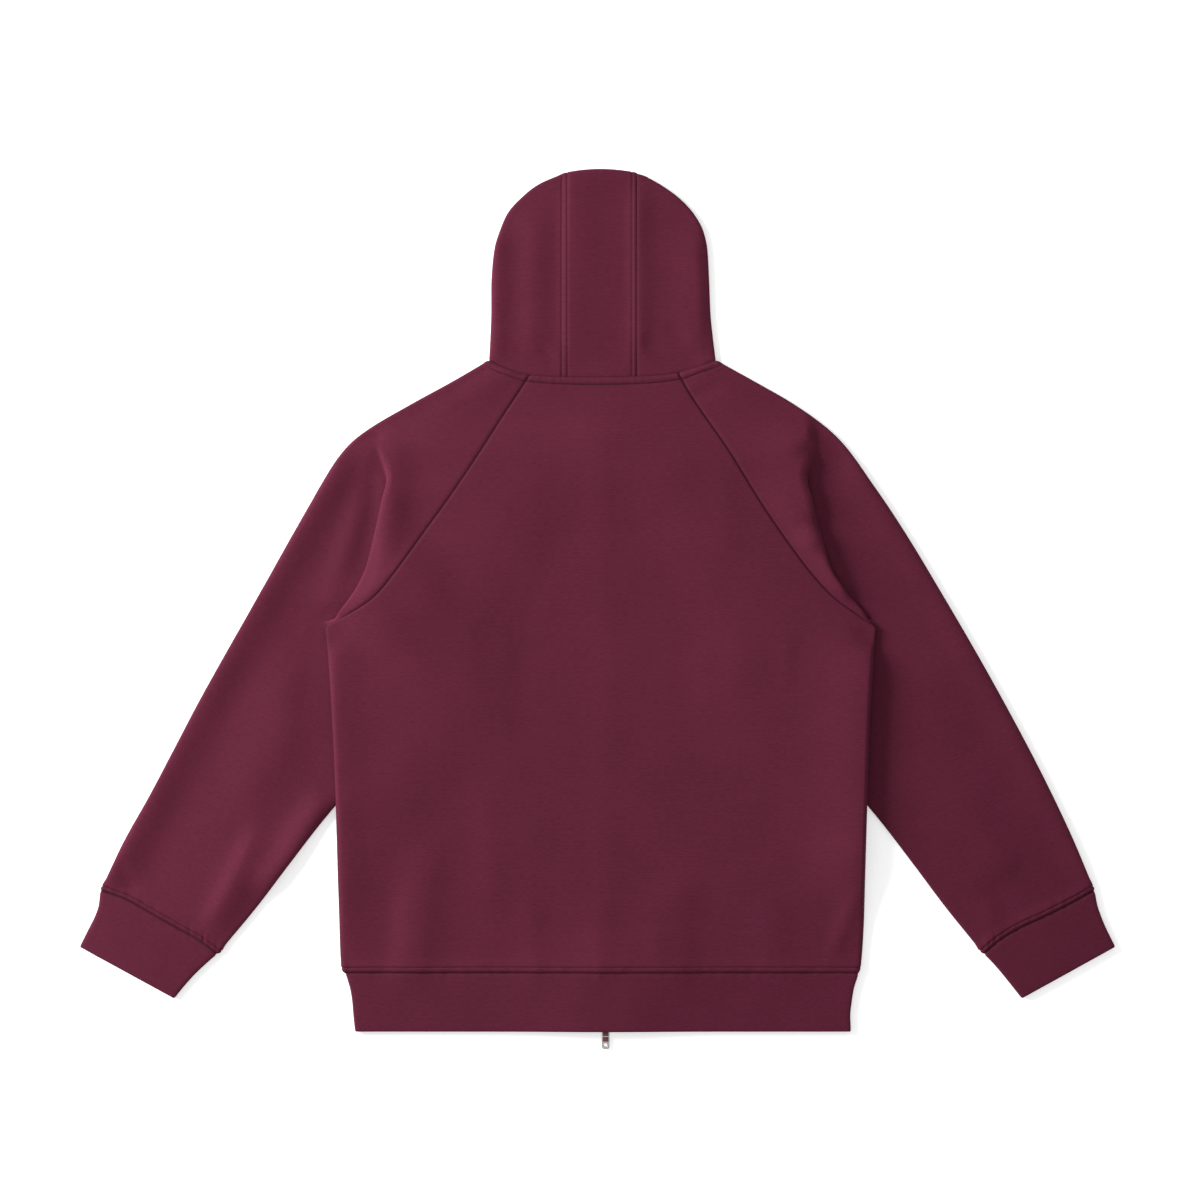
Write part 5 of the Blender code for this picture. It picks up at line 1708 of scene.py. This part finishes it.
@dataclass
class SliderSet:
    """A slider and its pull tab at one end of the zip."""

    lay: Lay
    label: str
    centre_y: float
    post_side: int
    wide: float = 9.0
    long: float = 12.0
    plate: float = 0.9
    channel: float = 1.5
    bridge_reach: float = 4.4
    bridge_wide: float = 2.0
    bridge_thick: float = 0.75
    bridge_drop: float = 1.62
    leg: float = 0.8
    flange: float = 0.7
    flange_inset: float = 0.02
    flange_deep: float = 0.55
    flange_short: float = 0.8
    post: Two = (1.5, 1.6)
    post_in: float = 2.6
    overlap: float = 0.4
    pull_wide: float = 8.9
    pull_thick: float = 1.1
    eye_wide: float = 3.6
    eye_long: float = 4.9
    hole_radius: float = 1.7
    hole_from_tip: float = 4.6
    rail: float = 1.3
    corner: float = 2.7
    recess: float = 0.22
    bars: tuple[float, ...] = (8.6, 14.9, 21.2)
    bar_half: float = 0.65
    pin_half: float = 0.55
    rim: float = 0.9
    rim_step: float = 0.3

    def make_slider(self, finish: Finish) -> None:
        """Build the slider: two rounded plates, flanges, a post and the bridge below."""
        z, y, x = self.lay.zip_z(self.centre_y), self.centre_y, S.zip_x
        half_x, half_y = self.wide / 2, self.long / 2
        inner = z - self.channel
        outer = inner - self.plate
        upper = z + self.channel
        deep, sunk, short = self.flange_deep, self.overlap / 2, self.flange_short
        bm = bmesh.new()
        for low, high in ((outer, inner), (upper, upper + self.plate)):
            block(bm, (x - half_x, y - half_y, low), (x + half_x, y + half_y, high), 0.35)
        for near, far in both_ways(x, half_x - self.flange, half_x - self.flange_inset):
            for low, high in ((inner - sunk, inner + deep), (upper - deep, upper + sunk)):
                block(bm, (near, y - half_y + short, low), (far, y + half_y - short, high), 0.15, 1)
        post_y = y + self.post_side * (half_y - self.post_in)
        post_x, post_long = self.post
        block(bm, (x - post_x, post_y - post_long, inner - self.overlap),
              (x + post_x, post_y + post_long, upper + self.overlap), 0.3)
        low = S.pivot_z - self.bridge_drop
        half, reach = self.bridge_wide / 2, self.bridge_reach
        block(bm, (x - half, y - reach, low), (x + half, y + reach, low + self.bridge_thick), 0.3)
        for near, far in both_ways(y, reach, reach - self.leg):
            block(bm, (x - half, near, low), (x + half, far, outer + self.overlap), 0.25)
        piece = finished(f"slider_{self.label}_metal", bm, finish, BODY)
        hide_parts(f"slider_{self.label}")

    def make_pull(self, finish: Finish, painted_reflection: Finish) -> None:
        """Build the pull tab: an eye, a framed plate with cross bars and a hole, and the panels
        between the bars.

        Args:
            finish: The metal's finish.
            painted_reflection: The finish of the panels between the cross bars: painted reflection
                of the cloth.
        """
        x, y = S.zip_x, self.centre_y
        low, high = S.pivot_z - self.pull_thick / 2, S.pivot_z + self.pull_thick / 2
        half, tip, shoulder = self.pull_wide / 2, y - S.pull_long, y - self.eye_long
        bm = bmesh.new()
        pin, bar = self.pin_half, self.bar_half
        block(bm, (x - half, y - pin, low + 0.02), (x + half, y + pin, high - 0.02), 0.4)
        eyes = both_ways(x, self.eye_wide / 2, half - 0.04)
        for (near, far), (start, end) in zip(eyes, both_ways(x, half - self.rail, half)):
            block(bm, (near, shoulder - 1.0, low + 0.04), (far, y + 0.4, high - 0.04), 0.3)
            block(bm, (start, tip + self.corner, low), (end, shoulder + 0.5, high), 0.3)
        for place in self.bars:
            block(bm, (x - half + 0.2, y - place - bar, low + 0.08),
                  (x + half - 0.2, y - place + bar, high - 0.08), 0.3)
        self._plate(bm, tip, shoulder)
        hole = Vector((x, tip + self.hole_from_tip, S.pivot_z))
        self._ring(bm, hole, self.hole_radius + self.rim)
        body = f"{self.label}_pull"
        piece = finished(f"pull_{self.label}_metal", bm, finish, body)
        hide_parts(f"pull_{self.label}")
        # The panels between the cross bars, burgundy as a painted reflection of the cloth in the
        # metal.
        bm = bmesh.new()
        for near, far in zip(self.bars, self.bars[1:]):
            block(bm, (x - half + self.rail - 0.1, y - far + 0.55, low + self.recess / 2),
                  (x + half - self.rail + 0.1, y - near - 0.55, high - self.recess / 2), 0.1, 1)
        finished(f"pull_{self.label}_inlay", bm, painted_reflection, body)

    def _plate(self, bm: BMesh, tip: float, shoulder: float) -> None:
        """Add the flat plate with its rounded corners and its hole."""
        part = bmesh.new()
        bmesh.ops.create_grid(part, x_segments=1, y_segments=1, size=0.5)
        size = ((self.pull_wide - 0.1) * MM, (shoulder - tip) * MM, 1.0)
        bmesh.ops.scale(part, vec=size, verts=part.verts)
        corners = [vert for vert in part.verts if vert.co.y < 0.0]
        bmesh.ops.bevel(part, geom=corners, offset=self.corner * MM, segments=6, profile=0.5,
                        affect="VERTICES")
        middle = Vector((S.zip_x, (tip + shoulder) / 2, 0.0))
        bmesh.ops.translate(part, vec=middle * MM, verts=part.verts)
        bmesh.ops.delete(part, geom=part.faces[:], context="FACES_ONLY")
        place = Matrix.Translation(Vector((S.zip_x, tip + self.hole_from_tip, 0.0)) * MM)
        bmesh.ops.create_circle(part, segments=24, radius=self.hole_radius * MM, matrix=place)
        bmesh.ops.triangle_fill(part, edges=part.edges[:], use_beauty=True, normal=(0.0, 0.0, 1.0))
        thick = (self.pull_thick - 2 * self.recess) * MM
        bmesh.ops.solidify(part, geom=part.faces[:], thickness=thick)
        heights = [vert.co.z for vert in part.verts]
        lift = S.pivot_z * MM - (max(heights) + min(heights)) / 2
        bmesh.ops.translate(part, vec=(0.0, 0.0, lift), verts=part.verts)
        bmesh.ops.recalc_face_normals(part, faces=part.faces)
        add_part(bm, part)

    def _ring(self, bm: BMesh, centre: Vector, radius: float) -> None:
        """Add the raised rim of the tab's hole."""
        part = bmesh.new()
        inner, thick, step = self.hole_radius, self.pull_thick / 2, self.rim_step
        section = ((inner, -thick + 0.2), (inner + 0.25, -thick), (radius - step, -thick),
                   (radius, -thick + step), (radius, thick - step), (radius - step, thick),
                   (inner + 0.25, thick), (inner, thick - 0.2))
        verts = [part.verts.new(Vector((r, 0.0, z)) * MM) for r, z in section]
        edges = [part.edges.new((a, b)) for a, b in zip(verts, verts[1:] + verts[:1])]
        bmesh.ops.spin(part, geom=verts + edges, cent=(0, 0, 0), axis=(0, 0, 1), angle=2 * math.pi,
                       steps=32, use_merge=True)
        bmesh.ops.remove_doubles(part, verts=part.verts, dist=1e-6)
        bmesh.ops.recalc_face_normals(part, faces=part.faces)
        bmesh.ops.translate(part, vec=centre * MM, verts=part.verts)
        add_part(bm, part)


# --- Finishes ---


class Graph:
    """A node tree that is filled in with short calls."""

    def __init__(self, tree: bpy.types.NodeTree) -> None:
        """Keep the tree."""
        self.tree = tree

    def node(self, kind: str, inputs: dict[str | int, object] | None = None,
             **settings: object) -> Node:
        """Add a node.

        Args:
            kind: The node's type.
            inputs: Values or other nodes' sockets for its inputs, by name or number.
            settings: Attributes of the node itself.

        Returns:
            The new node.
        """
        made = self.tree.nodes.new(kind)
        for name, value in settings.items():
            setattr(made, name, value)
        self.fill(made, inputs or {})
        return made

    def fill(self, node: Node, inputs: dict[str | int, object]) -> None:
        """Give a node's inputs their values, or join them to other nodes' sockets."""
        for name, value in inputs.items():
            if isinstance(value, Socket):
                self.tree.links.new(value, node.inputs[name])
            else:
                node.inputs[name].default_value = value

    def place(self) -> Socket:
        """The piece's own coordinates."""
        return self.node("ShaderNodeTexCoord").outputs["Object"]

    def blend(self, factor: Socket, first: object, second: object) -> Socket:
        """The colour between two others."""
        inputs = {0: factor, 6: first, 7: second}
        return self.node("ShaderNodeMix", inputs, data_type="RGBA").outputs[2]

    def sum(self, operation: str, a: object, b: object = 0.0, c: object = 0.0) -> Socket:
        """The result of a Math node on up to three values."""
        return self.node("ShaderNodeMath", {0: a, 1: b, 2: c}, operation=operation).outputs[0]

    def noise(self, vector: Socket, scale: tuple[float, float, float],
              detail: float = 2.0) -> Socket:
        """Noise from 0 to 1 whose grain is scaled by axis, in lengths per metre."""
        place = self.node("ShaderNodeMapping", {"Vector": vector, "Scale": scale})
        inputs = {"Vector": place.outputs[0], "Scale": 1.0, "Detail": detail}
        return self.node("ShaderNodeTexNoise", inputs).outputs[0]


def shared_group(name: str, inputs: dict[str, float], outputs: Sequence[str],
                 fill: Callable[[Graph, Node, Node], None]) -> bpy.types.NodeTree:
    """Build a shader node group once, with a place and some numbers as its inputs.

    Args:
        name: The group's name.
        inputs: Each number's name and default.
        outputs: Names of the numbers that it gives.
        fill: Adds the nodes between the group's input and output.

    Returns:
        The group, new or already built.
    """
    if name in bpy.data.node_groups:
        return bpy.data.node_groups[name]
    group = bpy.data.node_groups.new(name, "ShaderNodeTree")
    sockets = group.interface
    sockets.new_socket("Place", in_out="INPUT", socket_type="NodeSocketVector")
    for label, value in inputs.items():
        socket = sockets.new_socket(label, in_out="INPUT", socket_type="NodeSocketFloat")
        socket.default_value = value
    for label in outputs:
        sockets.new_socket(label, in_out="OUTPUT", socket_type="NodeSocketFloat")
    start, end = group.nodes.new("NodeGroupInput"), group.nodes.new("NodeGroupOutput")
    fill(Graph(group), start, end)
    return group


def fill_knit(graph: Graph, start: Node, end: Node) -> None:
    """Columns of small V loops, with the yarn's uneven rows."""
    place = start.outputs["Place"]
    axes = graph.node("ShaderNodeSeparateXYZ", {0: place})
    wale = graph.sum("FRACT", graph.sum("DIVIDE", axes.outputs[0], start.outputs["Wale"]))
    course = graph.sum("DIVIDE", axes.outputs[1], start.outputs["Course"])
    leg = graph.sum("MULTIPLY", graph.sum("ABSOLUTE", graph.sum("SUBTRACT", wale, 0.5)), 2.0)
    ridge = graph.sum("SINE", graph.sum("MULTIPLY", leg, math.pi))
    slant = graph.sum("FRACT", graph.sum("MULTIPLY_ADD", leg, 0.6, course))
    loop = graph.sum("SINE", graph.sum("MULTIPLY", slant, math.pi))
    height = graph.sum("MULTIPLY", graph.sum("MULTIPLY_ADD", ridge, 0.7, 0.3), loop)
    rows = graph.noise(place, (150.0, 900.0, 1.0), 3.0)
    long_rows = graph.noise(place, (22.0, 420.0, 1.0), 2.0)
    long_part = graph.sum("MULTIPLY", long_rows, 0.25)
    streak = graph.sum("ADD", graph.sum("MULTIPLY", rows, 0.75), long_part)
    graph.fill(end, {"Height": height, "Streak": streak})


def fill_mottle(graph: Graph, start: Node, end: Node) -> None:
    """Broad soft patches with a finer fuzz, from 0 to 1."""
    broad = graph.noise(start.outputs["Place"], (9.0, 9.0, 9.0), 2.0)
    fine = graph.noise(start.outputs["Place"], (260.0, 260.0, 260.0), 3.0)
    both = graph.sum("ADD", graph.sum("MULTIPLY", broad, 0.65), graph.sum("MULTIPLY", fine, 0.35))
    graph.fill(end, {"Tone": both})


@dataclass(frozen=True)
class Finish:
    """The look of one kind of surface."""

    SHEEN_ROUGHNESS = 0.45
    SHEEN_TINT = (0.80, 0.22, 0.42, 1.0)

    name: str
    dark: tuple[float, float, float]
    light: tuple[float, float, float]
    roughness: float = 0.85
    metallic: float = 0.0
    sheen: float = 0.0
    gloss: float = 0.5

    def material(self) -> bpy.types.Material:
        """The finish's material, built the first time it is needed."""
        if self.name in bpy.data.materials:
            return bpy.data.materials[self.name]
        material = bpy.data.materials.new(self.name)
        material.use_nodes = True
        material.diffuse_color = (*self.light, 1.0)
        graph = Graph(material.node_tree)
        shader = material.node_tree.nodes["Principled BSDF"]
        values = {"Roughness": self.roughness, "Metallic": self.metallic,
                  "Specular IOR Level": self.gloss}
        if self.sheen:
            values |= {"Sheen Weight": self.sheen, "Sheen Roughness": self.SHEEN_ROUGHNESS,
                       "Sheen Tint": self.SHEEN_TINT}
        graph.fill(shader, values)
        self.dress(graph, shader)
        return material

    def dress(self, graph: Graph, shader: Node) -> None:
        """Add the finish's own nodes in front of its shader."""
        raise NotImplementedError

    def between(self, graph: Graph, factor: Socket) -> Socket:
        """The colour between the finish's dark and its light one."""
        return graph.blend(factor, (*self.dark, 1.0), (*self.light, 1.0))

    def bump(self, graph: Graph, shader: Node, height: Socket, strength: float,
             distance: float) -> None:
        """Feed a height through a Bump node into the shader."""
        inputs = {"Height": height, "Strength": strength, "Distance": distance}
        graph.fill(shader, {"Normal": graph.node("ShaderNodeBump", inputs).outputs[0]})


@dataclass(frozen=True)
class KnitFinish(Finish):
    """Smooth heavy double-knit with fine loops and faint rows."""

    wale: float = 0.00085
    course: float = 0.00065
    loops: float = 0.22
    streaks: float = 1.2
    patches: float = 0.5
    tones: Two = (0.70, 1.25)
    # How dark the painted shade along seams and stitch lines makes the cloth.
    seam_dark: float = 0.22
    relief: float = 0.30
    relief_deep: float = 0.00018

    def dress(self, graph: Graph, shader: Node) -> None:
        """Loops, rows, soft patches and the painted shade along seams and stitch lines."""
        cloth = graph.node("ShaderNodeUVMap", uv_map="cloth").outputs[0]
        group = shared_group("knit loops", {"Wale": 0.001, "Course": 0.001},
                             ("Height", "Streak"), fill_knit)
        inputs = {"Place": cloth, "Wale": self.wale, "Course": self.course}
        knit = graph.node("ShaderNodeGroup", inputs, node_tree=group)
        mask = graph.sum("MULTIPLY", knit.outputs["Height"], self.loops)
        mask = graph.sum("MULTIPLY_ADD", knit.outputs["Streak"], self.streaks, mask)
        mask = graph.sum("MULTIPLY_ADD", mottle(graph), self.patches, mask)
        low, high = self.tones
        level = graph.node("ShaderNodeMapRange", {0: mask, 1: low, 2: high, 3: 0.0, 4: 1.0})
        # Painted shade: the cloth darkens toward seams and stitch lines, as the seam attribute
        # gives.
        seam = graph.node("ShaderNodeAttribute", attribute_name="seam").outputs["Fac"]
        deep = (*(self.seam_dark * part for part in self.dark), 1.0)
        tone = graph.blend(seam, self.between(graph, level.outputs[0]), deep)
        graph.fill(shader, {"Base Color": tone})
        height = graph.sum("MULTIPLY_ADD", knit.outputs["Streak"], 0.5, knit.outputs["Height"])
        self.bump(graph, shader, height, self.relief, self.relief_deep)


@dataclass(frozen=True)
class TapeFinish(Finish):
    """Woven tape: fine diagonal ribs."""

    slant: float = 0.7
    ribs: float = 380.0

    def dress(self, graph: Graph, shader: Node) -> None:
        """A twill's slanting ribs."""
        turn = {"Vector": graph.place(), "Rotation": (0.0, 0.0, self.slant)}
        inputs = {"Vector": graph.node("ShaderNodeMapping", turn).outputs[0],
                  "Scale": self.ribs, "Distortion": 0.6}
        wave = graph.node("ShaderNodeTexWave", inputs)
        half = graph.sum("MULTIPLY", wave.outputs[1], 0.5)
        tone = graph.sum("MULTIPLY_ADD", mottle(graph), 0.5, half)
        graph.fill(shader, {"Base Color": self.between(graph, tone)})
        self.bump(graph, shader, wave.outputs[1], 0.4, 0.0002)


@dataclass(frozen=True)
class MetalFinish(Finish):
    """Bright plated metal with faint handling marks."""

    def dress(self, graph: Graph, shader: Node) -> None:
        """Fine scratches in the gloss."""
        marks = graph.noise(graph.place(), (2200.0, 300.0, 900.0), 3.0)
        span = {0: marks, 3: self.roughness * 0.7, 4: self.roughness * 1.5}
        rough = graph.node("ShaderNodeMapRange", span)
        graph.fill(shader, {"Roughness": rough.outputs[0],
                            "Base Color": self.between(graph, mottle(graph))})
        self.bump(graph, shader, marks, 0.12, 0.0001)


@dataclass(frozen=True)
class ThreadFinish(Finish):
    """Twisted sewing thread."""

    def dress(self, graph: Graph, shader: Node) -> None:
        """The thread's slanting plies."""
        inputs = {"Vector": graph.place(), "Scale": 900.0}
        wave = graph.node("ShaderNodeTexWave", inputs, bands_direction="DIAGONAL")
        graph.fill(shader, {"Base Color": self.between(graph, wave.outputs[1])})
        self.bump(graph, shader, wave.outputs[1], 0.5, 0.0001)


def mottle(graph: Graph) -> Socket:
    """The shared soft patches, read from the piece's own place."""
    tree = shared_group("soft patches", {}, ("Tone",), fill_mottle)
    return graph.node("ShaderNodeGroup", {"Place": graph.place()}, node_tree=tree).outputs["Tone"]


KNIT = KnitFinish("burgundy knit", (0.0715, 0.0078, 0.0216), (0.1030, 0.0125, 0.0317),
                  roughness=0.80, sheen=0.06, gloss=0.12)
RIB_KNIT = replace(KNIT, name="burgundy band knit", dark=(0.0690, 0.0075, 0.0209),
                   light=(0.0980, 0.0119, 0.0302))
TAPE = TapeFinish("burgundy tape", (0.055, 0.010, 0.020), (0.105, 0.018, 0.038), 0.8)
TEETH = MetalFinish("burgundy moulded teeth", (0.090, 0.015, 0.030), (0.120, 0.020, 0.042), 0.38)
THREAD = ThreadFinish("burgundy thread", (0.050, 0.007, 0.017), (0.100, 0.016, 0.035),
                      roughness=0.7, sheen=0.05, gloss=0.2)
# The pull's burgundy panels: a painted reflection of the burgundy cloth in the tab's metal.
PULL_REFLECTION = MetalFinish("burgundy reflection", (0.150, 0.030, 0.045), (0.210, 0.045, 0.065), 0.25)
NICKEL = MetalFinish("bright nickel", (0.62, 0.61, 0.59), (0.80, 0.79, 0.77), 0.22, 1.0)


# --- Studio ---


@dataclass
class Studio:
    """A pale floor, soft lights and a camera straight above."""

    frame_mm: float = 1320.0
    centre: Two = (2.2, 9.9)
    lens: float = 100.0
    key_power: float = 182.0
    key_place: tuple[float, float, float] = (-2.50, 1.05, 1.07)
    key_size: float = 1.30
    sky: float = 0.575
    floor_half: float = 4.0
    floor_z: float = -0.0006
    floor_tone: float = 0.93
    floor_glow: float = 0.42
    sensor: float = 36.0
    reach: float = 50.0

    def build(self) -> None:
        """Add the floor, the lights and the camera."""
        self._floor()
        self._lights()
        self._camera()
        bpy.context.scene.view_settings.view_transform = "Standard"

    def _floor(self) -> None:
        """Add a white paper floor with a faint glow of its own."""
        bm = bmesh.new()
        bmesh.ops.create_grid(bm, x_segments=1, y_segments=1, size=self.floor_half)
        bmesh.ops.translate(bm, vec=(0, 0, self.floor_z), verts=bm.verts)
        mesh = to_mesh("floor", bm)
        paper = bpy.data.materials.new("white paper")
        paper.use_nodes = True
        Graph(paper.node_tree).fill(paper.node_tree.nodes["Principled BSDF"], {
            "Base Color": (*(self.floor_tone,) * 3, 1.0), "Roughness": 0.9,
            "Specular IOR Level": 0.1, "Emission Color": (1.0,) * 4,
            "Emission Strength": self.floor_glow})
        mesh.materials.append(paper)
        put("floor", mesh)

    def _lights(self) -> None:
        """Add the large key light at the upper left and an even white sky."""
        key = bpy.data.lights.new("key", "AREA")
        key.size, key.energy = self.key_size, self.key_power
        lamp = put("key", key)
        lamp.location = self.key_place
        lamp.rotation_euler = Vector(self.key_place).to_track_quat("Z", "Y").to_euler()
        world = bpy.data.worlds.new("studio")
        world.use_nodes = True
        Graph(world.node_tree).fill(world.node_tree.nodes["Background"],
                                    {"Color": (1.0,) * 4, "Strength": self.sky})
        bpy.context.scene.world = world

    def _camera(self) -> None:
        """Add the camera straight above."""
        data = bpy.data.cameras.new("camera")
        data.lens, data.sensor_width, data.clip_end = self.lens, self.sensor, self.reach
        camera = put("camera", data)
        x, y = (value * MM for value in self.centre)
        camera.location = (x, y, self.frame_mm * MM * self.lens / data.sensor_width)
        bpy.context.scene.camera = camera


# --- The whole garment ---


def main() -> None:
    """Load the frame, build every piece in order and set up the studio."""
    logging.basicConfig(level=logging.INFO, format="%(message)s")
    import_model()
    Studio().build()
    lay = Lay()
    panels = BodyPanels(lay)
    back = panels.make_back(KNIT)
    fronts = {side: panels.make_front(side, KNIT) for side in Side}
    sleeves = {side: Sleeve(side, lay).make(KNIT) for side in Side}
    for side in Side:
        Cuff(side).make(RIB_KNIT)
    HemBand(lay).make(RIB_KNIT)
    hood = Hood(lay)
    crown = hood.make_crown(KNIT)
    hood_sides = {side: hood.make_side(side, KNIT) for side in Side}
    sewn = {"back": back, "crown": crown}
    for side in Side:
        sewn |= {f"{side.label}_front": fronts[side], f"{side.label}_sleeve": sleeves[side],
                 f"{side.label}_hood": hood_sides[side]}
    for name, sheet in sewn.items():
        Sewing().sew(f"{name}_stitches", sheet.stitch_lines(), THREAD)
    fastening = Zip(lay)
    for side in Side:
        fastening.make_tape(side, TAPE)
        fastening.make_teeth(side, TEETH)
    for end in (SliderSet(lay, "lower", S.lower_slider_y, -1),
                SliderSet(lay, "upper", S.upper_slider_y, 1)):
        end.make_slider(NICKEL)
        end.make_pull(NICKEL, PULL_REFLECTION)


if __name__ == "__main__":
    main()
